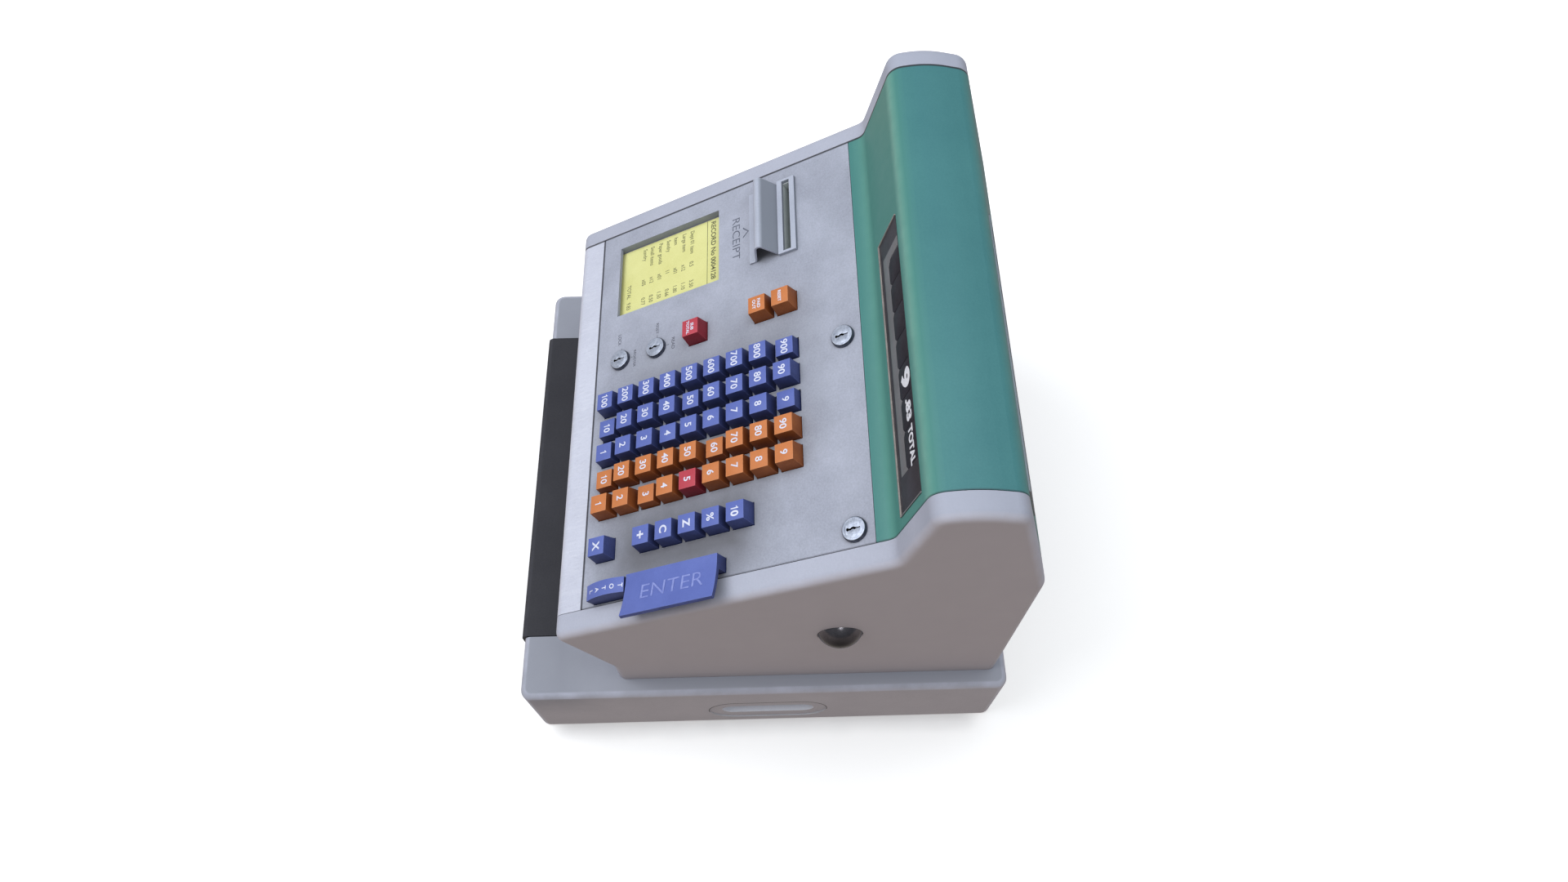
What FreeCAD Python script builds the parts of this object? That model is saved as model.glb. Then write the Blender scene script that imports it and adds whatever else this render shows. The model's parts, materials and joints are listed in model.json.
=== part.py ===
"""Mechanical cash register: keyboard body with an indicator hood, on a base that holds a cash drawer.

Frame: +X is the user's right, -Y the front, +Z up; the origin is on the table, under the middle of the base.
The keyboard lies on a slope: "along" is measured up the slope from the panel's front edge and "above" is
measured square to the panel's face.
"""
import FreeCAD
import Part
import Sketcher
import math
import os
import re

SIZES = {
    # base
    "base_width": 387.5, "base_depth": 386, "base_height": 86, "base_wall": 4, "base_corner": 9, "base_edge": 6,
    "foot_height": 3, "foot_radius": 9, "foot_inset_x": 32.5, "foot_inset_y": 61,
    "plate_thick": 3, "plate_gap": 0.2,
    "screw_inset_x": 14.5, "screw_inset_y": 21, "screw_radius": 1.6, "screw_head_radius": 3.6,
    "screw_head_height": 1.6, "screw_length": 16, "screw_gap": 0.08, "post_radius": 6,
    "grip_length": 97, "grip_height": 44, "grip_middle_y": 3.25, "grip_middle_z": 35, "grip_step": 1,
    "grip_slot_length": 76, "grip_slot_height": 19, "grip_depth": 11, "grip_boss_wall": 3,
    # drawer
    "cheek_width": 50.75, "drawer_front_proud": 2.5, "drawer_front_rise": 1, "drawer_front_low": 8,
    "drawer_front_wall": 6, "drawer_lip_wall": 4, "drawer_gap": 0.4, "drawer_lip_gap": 1,
    "drawer_front_edge": 6,
    "drawer_inset": 8, "drawer_back_space": 42, "drawer_head_space": 20, "drawer_low": 10, "drawer_wall": 2,
    "flange_reach": 8, "flange_thick": 3, "flange_drop": 18, "runner_wall": 3, "runner_gap": 0.3,
    "runner_lip_gap": 1, "runner_end_gap": 10,
    "tray_gap": 0.5, "tray_back_space": 35.5, "tray_drop": 12, "tray_wall": 2.5, "tray_floor": 4,
    "coin_length": 90,
    "latch_x": 100, "latch_width": 7, "latch_side_gap": 0.4, "latch_pivot_rise": 8, "latch_wall_gap": 0.5,
    "latch_reach": 32, "latch_over": 3, "latch_bar": 8, "latch_heel": 6, "latch_pin": 3, "latch_ear": 4,
    # body outline, seen from the right
    "body_width": 360, "cover_depth": 17.5, "cover_wall": 3, "cover_edge": 7, "seam_gap": 0.4,
    "body_front_y": -114.35, "knee_z": 120, "nose_y": -146.3, "panel_front_y": -124.25, "panel_front_z": 207.5,
    "panel_slope": 29, "panel_length": 227.4, "panel_thick": 3, "fold_along": 240,
    "hood_front_y": 100.65, "hood_front_z": 388.5, "hood_crown_y": 125.65, "hood_crown_z": 393,
    "hood_back_y": 154.55, "hood_back_z": 386, "back_bend_z": 276, "body_back_y": 185.55,
    "knee_round": 10, "nose_round": 9, "fold_round": 10, "hood_round": 12, "crown_round": 70, "bend_round": 25,
    # keys
    "key_pitch": 19.05, "column_pitch": 21.23, "first_row": 18.9, "cents_inset": 72.9, "key_base": 16.3,
    "key_top": 13.6, "key_height": 11.5, "key_sink": 1.5, "key_gap": 0.35, "key_down": 4.7,
    "key_half_down": 2.3,
    "stem_width": 8, "stem_thick": 2.4, "stem_reach": 34, "stem_gap": 0.3,
    "function_inset": 40, "left_keys_gap": 124.9,
    "total_inset": 12.5, "total_width": 11.2, "total_along": 11.2, "total_length": 33.4,
    "total_front_height": 8.5,
    "total_crown_height": 13.2, "total_back_height": 11,
    "bar_gap": 1.7, "enter_inset": 13.3, "enter_width": 10.3, "enter_length": 73.2, "enter_height": 11,
    "enter_reach": 31.2, "enter_lip_height": 17.2, "enter_middle_height": 12.5, "enter_thick": 3,
    "guide_depth": 22, "guide_thick": 2, "guide_along": 6, "guide_end": 15.4, "guide_gap": 0.2,
    # locks, journal window and receipt slot
    "lock_radius": 8.5, "lock_height": 3.2, "plug_radius": 6.5, "plug_gap": 0.05, "plug_depth": 14,
    "plug_rise": 2.9, "keyway_length": 9.6, "keyway_width": 1.5, "keyway_depth": 4, "lock_hole_gap": 0.7,
    "register_lock_along": 23.5, "lock_pitch": 33.7, "cover_lock_end": 13.4, "left_lock_gap": 81.6,
    "right_lock_inset": 11.6,
    "window_inset": 16.3, "window_gap": 43.9, "window_along": 17.4, "window_length": 95.7, "pan_wall": 2,
    "pan_depth": 7, "pan_gap": 0.5, "pan_end": 3.4, "pan_roll_gap": 2,
    "paper_thick": 0.4, "paper_gap": 0.3, "paper_bend": 3,
    "roll_radius": 18, "spool_radius": 12, "roll_depth": 30, "spindle_radius": 3, "bearing_gap": 0.05,
    "slot_margin": 3.1, "slot_extra": 2.7, "slot_frame_along": 166.8, "slot_frame_length": 14.8,
    "slot_frame_height": 2.5, "slot_rim": 1.95, "slot_length": 6.4, "panel_slot_length": 10,
    "guide_sheet": 1.4, "guide_inset": 1.8, "guide_foot_reach": 25.3, "guide_leg_reach": 20.2,
    "guide_ridge_reach": 10.8, "guide_ridge_height": 20.6, "guide_ridge_round": 4,
    # indicator
    "bezel_inset": 6.9, "bezel_width": 202.8, "bezel_low": 13.5, "bezel_height": 37.5, "bezel_thick": 4.5,
    "bezel_proud": 1.2, "bezel_gap": 0.3, "tiles_inset": 28, "tiles_low": 31, "tiles_height": 18.3,
    "tile_width": 21, "end_tile_width": 26, "blank_tiles_width": 41.4, "drum_gap": 0.5, "drum_apothem": 20,
    "drum_back_gap": 2.5, "indicator_shaft_radius": 4,
    # release button on the right cover
    "button_y": 57.25, "button_z": 191, "button_radius": 16, "button_dome": 9.5, "button_skirt": 5.5,
    "button_gap": 0.35, "button_stem": 4, "button_stem_reach": 19,
    # frame plates and drive
    "frame_gap": 2, "frame_thick": 3, "frame_margin": 10, "frame_inset": 17, "frame_step": 5.5,
    "shaft_y": 61.25, "shaft_z": 160, "shaft_radius": 6, "cam_radius": 18, "cam_width": 5, "cam_pitch": 24,
    "gear_module": 2, "gear_teeth": 48, "pinion_teeth": 12, "gear_width": 10, "gear_x": -55, "mesh_slack": 0.3,
    "motor_drop": 30, "motor_radius": 28, "motor_length": 88, "motor_foot_width": 40, "motor_shaft_radius": 4,
    "motor_shaft_reach": 12, "motor_end_gap": 0.5,
}
# sizes that follow from others
DERIVED = {
    "screw_x": "base_width/2 - screw_inset_x", "screw_y": "base_depth/2 - screw_inset_y",
    "foot_x": "base_width/2 - foot_inset_x", "foot_y": "base_depth/2 - foot_inset_y",
    "drawer_front_width": "base_width - 2*cheek_width", "drawer_width": "drawer_front_width - 2*drawer_inset",
    "drawer_front_y": "-base_depth/2 - drawer_front_proud/2",
    "drawer_box_y": "drawer_front_y + drawer_front_wall",
    "drawer_depth": "base_depth - drawer_back_space", "drawer_height": "base_height - drawer_head_space",
    "flange_low": "drawer_low + drawer_height - flange_drop",
    "runner_length": "base_depth - 2*base_wall - 2*runner_end_gap",
    "tray_depth": "drawer_depth - 2*drawer_wall - tray_gap - tray_back_space",
    "tray_height": "drawer_height - tray_drop",
    "base_top": "foot_height + base_height",
    "base_front": "drawer_front_proud/2 - base_depth/2", "base_back": "drawer_front_proud/2 + base_depth/2",
    "latch_pivot_y": "drawer_box_y + drawer_depth - drawer_wall - latch_wall_gap - latch_reach",
    "latch_pivot_z": "base_top + latch_pivot_rise",
    "latch_tip_z": "drawer_low + drawer_height + latch_over",
    "panel_width": "body_width - 2*cover_depth", "frame_x": "panel_width/2 + frame_gap",
    "fold_y": "panel_front_y + fold_along*cos(panel_slope)",
    "fold_z": "panel_front_z + fold_along*sin(panel_slope)",
    "nose_z": "panel_front_z + (nose_y - panel_front_y)*tan(panel_slope)",
    "cents_x": "panel_width/2 - cents_inset", "function_x": "panel_width/2 - function_inset",
    "left_keys_x": "cents_x - left_keys_gap",
    "total_x": "panel_width/2 - total_inset", "enter_x": "panel_width/2 - enter_inset",
    "enter_along": "total_along + total_length + bar_gap",
    "guide_length": "panel_length - guide_along - guide_end",
    "lock_hole": "plug_radius + lock_hole_gap", "reset_lock_along": "register_lock_along + lock_pitch",
    "cover_lock_along": "panel_length - cover_lock_end", "left_cover_lock_x": "cents_x - left_lock_gap",
    "right_cover_lock_x": "panel_width/2 - right_lock_inset",
    "window_x": "window_inset - panel_width/2", "window_width": "left_keys_x - window_gap - window_x",
    "pan_along": "window_along - pan_end", "pan_length": "window_length + 3*pan_end",
    "roll_along": "pan_along + pan_length + pan_roll_gap - roll_radius",
    "spool_along": "pan_along - pan_roll_gap + spool_radius",
    "slot_x": "window_x - slot_margin", "slot_frame_width": "window_width + slot_extra",
    "slot_width": "slot_frame_width - 2*slot_rim",
    "guide_foot_along": "slot_frame_along - guide_foot_reach",
    "guide_leg_along": "slot_frame_along - guide_leg_reach",
    "guide_ridge_along": "slot_frame_along - guide_ridge_reach",
    "bezel_x": "panel_width/2 - bezel_inset - bezel_width", "tiles_x": "bezel_x + tiles_inset",
    "frame_step_y": "fold_y + frame_step",
}
CAM_COUNT = 5
ROWS = 9
COLUMNS = 5
# keys that stand down, by digit and by column from the left
LOW_KEYS = {(9, 1): "key_down", (1, 2): "key_down", (9, 3): "key_down", (1, 4): "key_down", (6, 4): "key_down",
            (3, 5): "key_down", (5, 2): "key_half_down", (1, 3): "key_half_down", (4, 3): "key_half_down"}
DRUM_NAMES = ("hundreds_drum", "tens_drum", "units_drum", "dimes_drum", "cents_drum", "function_drum")
DRUM_FACETS = 10
COIN_CUPS = 5
NOTE_BAYS = 4
EPS = 0.01

doc = FreeCAD.newDocument("CashRegister")
sheet = doc.addObject("Spreadsheet::Sheet", "Sizes")
for row, (alias, number) in enumerate(SIZES.items(), start=1):
    sheet.set("A%d" % row, alias)
    sheet.set("B%d" % row, str(number))
    sheet.setAlias("B%d" % row, alias)
doc.recompute()

subparts = []


def bound(text):
    """Turn words that name a size into references to the sheet."""
    def refer(match):
        word = match.group(0)
        if word in DERIVED:
            return "(" + bound(DERIVED[word]) + ")"
        return "Sizes." + word if word in SIZES else word
    return re.sub(r"[a-z_]+", refer, str(text))


def size(text):
    """The number that a size, or an expression of sizes, gives now."""
    return float(sheet.evalExpression(bound(text)))


def bind(thing, **properties):
    """Bind properties of a document object to size expressions."""
    for name, text in properties.items():
        thing.setExpression(name.replace("__", "."), bound(text))


SLOPE = math.radians(size("panel_slope"))


def panel_point(x, along, above):
    """A point given on the panel, in the object's frame."""
    y = size("panel_front_y") + along * math.cos(SLOPE) - above * math.sin(SLOPE)
    z = size("panel_front_z") + along * math.sin(SLOPE) + above * math.cos(SLOPE)
    return FreeCAD.Vector(x, y, z)


def panel_placement():
    """The panel's own frame: X across, Y up the slope, Z out of the face."""
    turn = FreeCAD.Rotation(FreeCAD.Vector(1, 0, 0), size("panel_slope"))
    return FreeCAD.Placement(panel_point(0, 0, 0), turn)


def place(x=0, y=0, z=0, axis=(1, 0, 0), angle=0):
    return FreeCAD.Placement(FreeCAD.Vector(x, y, z), FreeCAD.Rotation(FreeCAD.Vector(*axis), angle))


ALONG_X = FreeCAD.Rotation(FreeCAD.Vector(0, 1, 0), 90)


def keep(thing, label):
    """Name a finished sub-part and list it for export."""
    thing.Label = label
    subparts.append(thing)
    return thing


# Sketch and feature helpers

def new_body(label, placement=None):
    body = doc.addObject("PartDesign::Body", label)
    if placement:
        body.Placement = placement
    return keep(body, label)


def new_sketch(body, plane, offset="0"):
    sketch = body.newObject("Sketcher::SketchObject", body.Name + "_sketch")
    support = [feature for feature in body.Origin.OriginFeatures if feature.Role == plane][0]
    sketch.AttachmentSupport = [(support, "")]
    sketch.MapMode = "FlatFace"
    sketch.setExpression("AttachmentOffset.Base.z", bound(offset))
    return sketch


def pin_point(sketch, geometry, position, x, y):
    """Hold one point of a sketch at two size expressions."""
    for kind, text in (("DistanceX", x), ("DistanceY", y)):
        index = sketch.addConstraint(Sketcher.Constraint(kind, geometry, position, size(text)))
        sketch.setExpression("Constraints[%d]" % index, bound(text))


def add_polygon(sketch, points):
    corners = [FreeCAD.Vector(size(x), size(y), 0) for x, y in points]
    first = sketch.GeometryCount
    count = len(points)
    for i in range(count):
        sketch.addGeometry(Part.LineSegment(corners[i], corners[(i + 1) % count]), False)
    for i in range(count):
        sketch.addConstraint(Sketcher.Constraint("Coincident", first + i, 2, first + (i + 1) % count, 1))
    for i, (x, y) in enumerate(points):
        pin_point(sketch, first + i, 1, x, y)


def add_rectangle(sketch, left, low, right, high):
    add_polygon(sketch, [(left, low), (right, low), (right, high), (left, high)])


def add_circle(sketch, x, y, radius):
    centre = FreeCAD.Vector(size(x), size(y), 0)
    index = sketch.addGeometry(Part.Circle(centre, FreeCAD.Vector(0, 0, 1), size(radius)), False)
    pin_point(sketch, index, 3, x, y)
    held = sketch.addConstraint(Sketcher.Constraint("Radius", index, size(radius)))
    sketch.setExpression("Constraints[%d]" % held, bound(radius))


def add_slot(sketch, middle_x, middle_y, length, height):
    """A lozenge with round ends, long in the sketch's X."""
    radius = size(height) / 2
    half = size(length) / 2 - radius
    x, y = size(middle_x), size(middle_y)
    up = FreeCAD.Vector(0, 0, 1)
    left = Part.Circle(FreeCAD.Vector(x - half, y, 0), up, radius)
    right = Part.Circle(FreeCAD.Vector(x + half, y, 0), up, radius)
    left_arc = sketch.addGeometry(Part.ArcOfCircle(left, math.pi / 2, 3 * math.pi / 2), False)
    right_arc = sketch.addGeometry(Part.ArcOfCircle(right, -math.pi / 2, math.pi / 2), False)
    low = Part.LineSegment(FreeCAD.Vector(x - half, y - radius, 0), FreeCAD.Vector(x + half, y - radius, 0))
    high = Part.LineSegment(FreeCAD.Vector(x + half, y + radius, 0), FreeCAD.Vector(x - half, y + radius, 0))
    low_line = sketch.addGeometry(low, False)
    high_line = sketch.addGeometry(high, False)
    for first, first_end, second, second_end in ((left_arc, 2, low_line, 1), (low_line, 2, right_arc, 1),
                                                 (right_arc, 2, high_line, 1), (high_line, 2, left_arc, 1)):
        sketch.addConstraint(Sketcher.Constraint("Tangent", first, first_end, second, second_end))
    reach = "(%s)/2 - (%s)/2" % (length, height)
    pin_point(sketch, left_arc, 3, "%s - (%s)" % (middle_x, reach), middle_y)
    pin_point(sketch, right_arc, 3, "%s + (%s)" % (middle_x, reach), middle_y)
    held = sketch.addConstraint(Sketcher.Constraint("Radius", left_arc, radius))
    sketch.setExpression("Constraints[%d]" % held, bound("(%s)/2" % height))


def pad(body, sketch, length, backwards=False, both_ways=False):
    feature = body.newObject("PartDesign::Pad", body.Name + "_pad")
    feature.Profile = sketch
    feature.Reversed = backwards
    feature.Midplane = both_ways
    bind(feature, Length=length)
    doc.recompute()
    return feature


def pocket(body, sketch, length, backwards=False, both_ways=False):
    before = body.Shape.Volume
    feature = body.newObject("PartDesign::Pocket", body.Name + "_pocket")
    feature.Profile = sketch
    feature.Reversed = backwards
    feature.Midplane = both_ways
    bind(feature, Length=length)
    doc.recompute()
    if not body.Shape.Volume < before - EPS:
        raise RuntimeError("a pocket of %s cuts nothing" % body.Label)
    return feature


def round_edges(body, radius, wanted):
    """Fillet the edges of the body's last feature that the test picks."""
    last = body.Tip
    names = ["Edge%d" % i for i, edge in enumerate(last.Shape.Edges, start=1) if wanted(edge)]
    feature = body.newObject("PartDesign::Fillet", body.Name + "_fillet")
    feature.Base = (last, names)
    bind(feature, Radius=radius)
    doc.recompute()
    return feature


def hollow(body, wall, open_faces):
    """Shell the body inwards, with the faces that the test picks left open."""
    last = body.Tip
    names = ["Face%d" % i for i, face in enumerate(last.Shape.Faces, start=1) if open_faces(face)]
    feature = body.newObject("PartDesign::Thickness", body.Name + "_shell")
    feature.Base = (last, names)
    feature.Reversed = True
    feature.Join = 0
    bind(feature, Value=wall)
    doc.recompute()
    return feature


def is_near(a, b):
    return abs(a - b) < EPS


def runs_along(edge, axis):
    """True for a straight edge parallel to the axis."""
    if edge.Curve.TypeId != "Part::GeomLine":
        return False
    return abs(abs(edge.Curve.Direction.dot(FreeCAD.Vector(*axis))) - 1) < 1e-6


def all_at(edge, pick, level):
    """True when both ends and the middle of an edge lie at a level."""
    points = [vertex.Point for vertex in edge.Vertexes] + [edge.CenterOfMass]
    return all(is_near(pick(point), level) for point in points)


# Primitive helpers

def box(name, length, width, height, x="0", y="0", z="0"):
    thing = doc.addObject("Part::Box", name)
    bind(thing, Length=length, Width=width, Height=height,
         Placement__Base__x=x, Placement__Base__y=y, Placement__Base__z=z)
    return thing


def cylinder(name, radius, height, x="0", y="0", z="0", turn=None):
    """A cylinder; with a turn, its axis is laid along that rotation's Z."""
    thing = doc.addObject("Part::Cylinder", name)
    if turn:
        thing.Placement = FreeCAD.Placement(FreeCAD.Vector(), turn)
    bind(thing, Radius=radius, Height=height,
         Placement__Base__x=x, Placement__Base__y=y, Placement__Base__z=z)
    return thing


def put(thing, spot):
    """Give a thing a worked-out place instead of one bound to sizes."""
    for direction in "xyz":
        thing.setExpression("Placement.Base." + direction, None)
    thing.Placement = spot
    return thing


def join(name, things):
    thing = doc.addObject("Part::MultiFuse", name)
    thing.Shapes = things
    return thing


def cut(name, base, tool):
    thing = doc.addObject("Part::Cut", name)
    thing.Base = base
    thing.Tool = tool
    return thing


def group(name, things):
    thing = doc.addObject("Part::Compound", name)
    thing.Links = things
    return thing


def formed(label, shape, placement=None):
    """A piece whose form is bent or toothed, set from the sizes by Part's own functions."""
    thing = doc.addObject("Part::Feature", label)
    thing.Shape = shape
    if placement:
        thing.Placement = placement
    return keep(thing, label)


def rounded_path(points, closed=False):
    """Edges through (u, v, radius) corners in the YZ plane, each corner an arc tangent to its two runs."""
    count = len(points)
    corners = [FreeCAD.Vector(0, u, v) for u, v, radius in points]
    starts, ends = list(corners), list(corners)
    middles = [None] * count
    for i, (u, v, radius) in enumerate(points):
        if not radius or (not closed and i in (0, count - 1)):
            continue
        before = (corners[i - 1] - corners[i]).normalize()
        after = (corners[(i + 1) % count] - corners[i]).normalize()
        half = before.getAngle(after) / 2
        starts[i] = corners[i] + before * (radius / math.tan(half))
        ends[i] = corners[i] + after * (radius / math.tan(half))
        inward = (before + after).normalize()
        middles[i] = corners[i] + inward * (radius / math.sin(half) - radius)
    edges = []
    for i in range(count):
        if middles[i]:
            edges.append(Part.Arc(starts[i], middles[i], ends[i]).toShape())
        if closed or i < count - 1:
            edges.append(Part.LineSegment(ends[i], starts[(i + 1) % count]).toShape())
    return edges


def bent_sheet(points, thick, left, right):
    """A sheet bent along a path in the YZ plane, thickened to one side and drawn from left to right in X."""
    wire = Part.Wire(rounded_path(points))
    face = wire.makeOffset2D(thick, 0, True, True)
    face.translate(FreeCAD.Vector(left, 0, 0))
    return face.extrude(FreeCAD.Vector(right - left, 0, 0))


# Base: shell, plate, feet and screws

def make_base_shell():
    body = new_body("base_shell")
    outline = new_sketch(body, "XY_Plane", "foot_height")
    add_rectangle(outline, "-base_width/2", "base_front", "base_width/2", "base_back")
    pad(body, outline, "base_height")
    round_edges(body, "base_corner", lambda edge: runs_along(edge, (0, 0, 1)))
    top = size("base_top")
    round_edges(body, "base_edge", lambda edge: all_at(edge, lambda p: p.z, top))
    hollow(body, "base_wall", lambda face: is_near(face.CenterOfMass.z, size("foot_height")))
    mouth = new_sketch(body, "XY_Plane", "base_top + 1")
    half = "(drawer_front_width/2 + drawer_gap)"
    add_rectangle(mouth, "-" + half, "base_front - 1", half, "body_front_y - drawer_lip_gap + drawer_gap")
    pocket(body, mouth, "base_height + 2")
    posts = new_sketch(body, "XY_Plane", "foot_height + plate_thick")
    for x in ("-screw_x", "screw_x"):
        for y in ("-screw_y", "screw_y"):
            add_circle(posts, x, y, "post_radius")
    pad(body, posts, "base_height - plate_thick - base_wall/2")
    holes = new_sketch(body, "XY_Plane", "foot_height + plate_thick")
    for x in ("-screw_x", "screw_x"):
        for y in ("-screw_y", "screw_y"):
            add_circle(holes, x, y, "screw_radius + screw_gap")
    pocket(body, holes, "screw_length", backwards=True)
    for side, backwards in (("", True), ("-", False)):
        boss = new_sketch(body, "YZ_Plane", side + "(base_width/2 - base_wall/2)")
        add_slot(boss, "grip_middle_y", "grip_middle_z", "grip_slot_length + 2*grip_boss_wall",
                 "grip_slot_height + 2*grip_boss_wall")
        pad(body, boss, "grip_depth + grip_boss_wall - base_wall/2", backwards=backwards)
        step = new_sketch(body, "YZ_Plane", side + "base_width/2")
        add_slot(step, "grip_middle_y", "grip_middle_z", "grip_length", "grip_height")
        pocket(body, step, "grip_step", backwards=not backwards)
        slot = new_sketch(body, "YZ_Plane", side + "base_width/2")
        add_slot(slot, "grip_middle_y", "grip_middle_z", "grip_slot_length", "grip_slot_height")
        pocket(body, slot, "grip_depth", backwards=not backwards)
    reach = new_sketch(body, "XY_Plane", "base_top + 1")
    half = "(latch_width/2 + latch_side_gap)"
    add_rectangle(reach, "latch_x - " + half, "latch_pivot_y + latch_reach - 2*latch_bar",
                  "latch_x + " + half, "latch_pivot_y + latch_reach + 1")
    pocket(body, reach, "base_wall + 2")
    for side, backwards in (("-", True), ("", False)):
        ear = new_sketch(body, "YZ_Plane", "latch_x " + (side or "+") + " " + half)
        add_rectangle(ear, "latch_pivot_y - latch_bar", "base_top - base_wall/2",
                      "latch_pivot_y + latch_bar", "latch_pivot_z + latch_bar")
        pad(body, ear, "latch_ear", backwards=backwards)
    pivot = new_sketch(body, "YZ_Plane", "latch_x")
    add_circle(pivot, "latch_pivot_y", "latch_pivot_z", "latch_pin + bearing_gap")
    pocket(body, pivot, "latch_width + 4*latch_ear", both_ways=True)


def make_base_plate():
    body = new_body("base_plate")
    outline = new_sketch(body, "XY_Plane", "foot_height")
    half_x = "(base_width/2 - base_wall - plate_gap)"
    add_rectangle(outline, "-" + half_x, "base_front + base_wall + plate_gap",
                  half_x, "base_back - base_wall - plate_gap")
    pad(body, outline, "plate_thick")
    round_edges(body, "base_corner - base_wall", lambda edge: runs_along(edge, (0, 0, 1)))
    for radius, depth in (("screw_radius + screw_gap", "plate_thick + 1"),
                          ("screw_head_radius + screw_gap", "screw_head_height")):
        holes = new_sketch(body, "XY_Plane", "foot_height")
        for x in ("-screw_x", "screw_x"):
            for y in ("-screw_y", "screw_y"):
                add_circle(holes, x, y, radius)
        pocket(body, holes, depth, backwards=True)


def four_places(x, y):
    return [(a + x, b + y) for a in ("-", "") for b in ("-", "")]


def make_feet_and_screws():
    feet = []
    for i, (x, y) in enumerate(four_places("foot_x", "foot_y")):
        feet.append(cylinder("foot_%d" % i, "foot_radius", "foot_height", x, y))
    keep(group("feet", feet), "rubber_feet")
    screws = []
    for i, (x, y) in enumerate(four_places("screw_x", "screw_y")):
        head = cylinder("screw_head_%d" % i, "screw_head_radius", "screw_head_height", x, y, "foot_height")
        shank = cylinder("screw_shank_%d" % i, "screw_radius", "screw_length", x, y, "foot_height")
        screws.append(join("screw_%d" % i, [head, shank]))
    keep(group("screws", screws), "base_screws")


# Drawer: runners, box, front, till tray and latch

def make_drawer_runners():
    rails = []
    for side in ("left", "right"):
        sign = -1 if side == "left" else 1
        rail = doc.addObject("Part::Feature", "runner_" + side)
        inner = size("drawer_width/2 + runner_lip_gap")
        outer = size("drawer_width/2 + flange_reach + runner_gap + runner_wall")
        slot_low = size("flange_low - runner_gap")
        slot_high = size("flange_low + flange_thick + runner_gap")
        wall = size("runner_wall")
        plate_top = size("foot_height + plate_thick")
        corners = [(outer, plate_top), (outer, slot_high + wall), (inner, slot_high + wall), (inner, slot_high),
                   (outer - wall, slot_high), (outer - wall, slot_low), (inner, slot_low),
                   (inner, slot_low - wall), (outer - wall, slot_low - wall), (outer - wall, plate_top)]
        start = size("base_front + base_wall + runner_end_gap")
        points = [FreeCAD.Vector(sign * x, start, z) for x, z in corners]
        face = Part.Face(Part.makePolygon(points + points[:1]))
        rail.Shape = face.extrude(FreeCAD.Vector(0, size("runner_length"), 0))
        rails.append(rail)
    keep(group("runners", rails), "drawer_runners")


def make_drawer_box():
    body = new_body("drawer_box")
    outline = new_sketch(body, "XY_Plane", "drawer_low")
    add_rectangle(outline, "-drawer_width/2", "drawer_box_y", "drawer_width/2", "drawer_box_y + drawer_depth")
    pad(body, outline, "drawer_height")
    inside = new_sketch(body, "XY_Plane", "drawer_low + drawer_height")
    add_rectangle(inside, "-drawer_width/2 + drawer_wall", "drawer_box_y + drawer_wall",
                  "drawer_width/2 - drawer_wall", "drawer_box_y + drawer_depth - drawer_wall")
    pocket(body, inside, "drawer_height - drawer_wall")
    flanges = new_sketch(body, "XY_Plane", "flange_low")
    start = "drawer_box_y + drawer_front_wall"
    end = "drawer_box_y + drawer_depth"
    add_rectangle(flanges, "-drawer_width/2 - flange_reach", start, "-drawer_width/2 + drawer_wall/2", end)
    add_rectangle(flanges, "drawer_width/2 - drawer_wall/2", start, "drawer_width/2 + flange_reach", end)
    pad(body, flanges, "flange_thick")


def make_drawer_front():
    body = new_body("drawer_front")
    outline = new_sketch(body, "YZ_Plane")
    top = "base_top + drawer_front_rise"
    lip_end = "body_front_y - drawer_lip_gap"
    add_polygon(outline, [
        ("drawer_front_y", "drawer_front_low"), ("drawer_box_y", "drawer_front_low"),
        ("drawer_box_y", top + " - drawer_lip_wall"), (lip_end, top + " - drawer_lip_wall"),
        (lip_end, top), ("drawer_front_y", top)])
    pad(body, outline, "drawer_front_width", both_ways=True)
    front, high = size("drawer_front_y"), size(top)
    round_edges(body, "drawer_front_edge",
                lambda edge: runs_along(edge, (1, 0, 0)) and all_at(edge, lambda p: p.y, front)
                and all_at(edge, lambda p: p.z, high))


def make_till_tray():
    """A tray of plates: a floor, an outer frame, a cross wall and partitions between cups and note bays."""
    half = "(drawer_width/2 - drawer_wall - tray_gap)"
    left = "-" + half
    start = "drawer_box_y + drawer_wall + tray_gap"
    low = "drawer_low + drawer_wall"
    floor = low + " + tray_floor"
    rise = "tray_height - tray_floor"
    inner = "2*%s - 2*tray_wall" % half
    plates = [box("tray_bottom", "2*" + half, "tray_depth", "tray_floor", left, start, low)]
    for name, x in (("left", left), ("right", half + " - tray_wall")):
        plates.append(box("tray_" + name, "tray_wall", "tray_depth", rise, x, start, floor))
    for name, y in (("front", "0"), ("cross", "coin_length"), ("back", "tray_depth - tray_wall")):
        plates.append(box("tray_" + name, inner, "tray_wall", rise, left + " + tray_wall", start + " + " + y,
                          floor))
    for name, count, near, far in (("coin", COIN_CUPS, "tray_wall", "coin_length"),
                                   ("note", NOTE_BAYS, "coin_length + tray_wall", "tray_depth - tray_wall")):
        pitch = "(2*%s - tray_wall)/%d" % (half, count)
        for i in range(1, count):
            plates.append(box("tray_%s_wall_%d" % (name, i), "tray_wall", "%s - (%s)" % (far, near), rise,
                              "%s + %d*%s" % (left, i, pitch), start + " + " + near, floor))
    keep(group("tray", plates), "till_tray")


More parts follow.
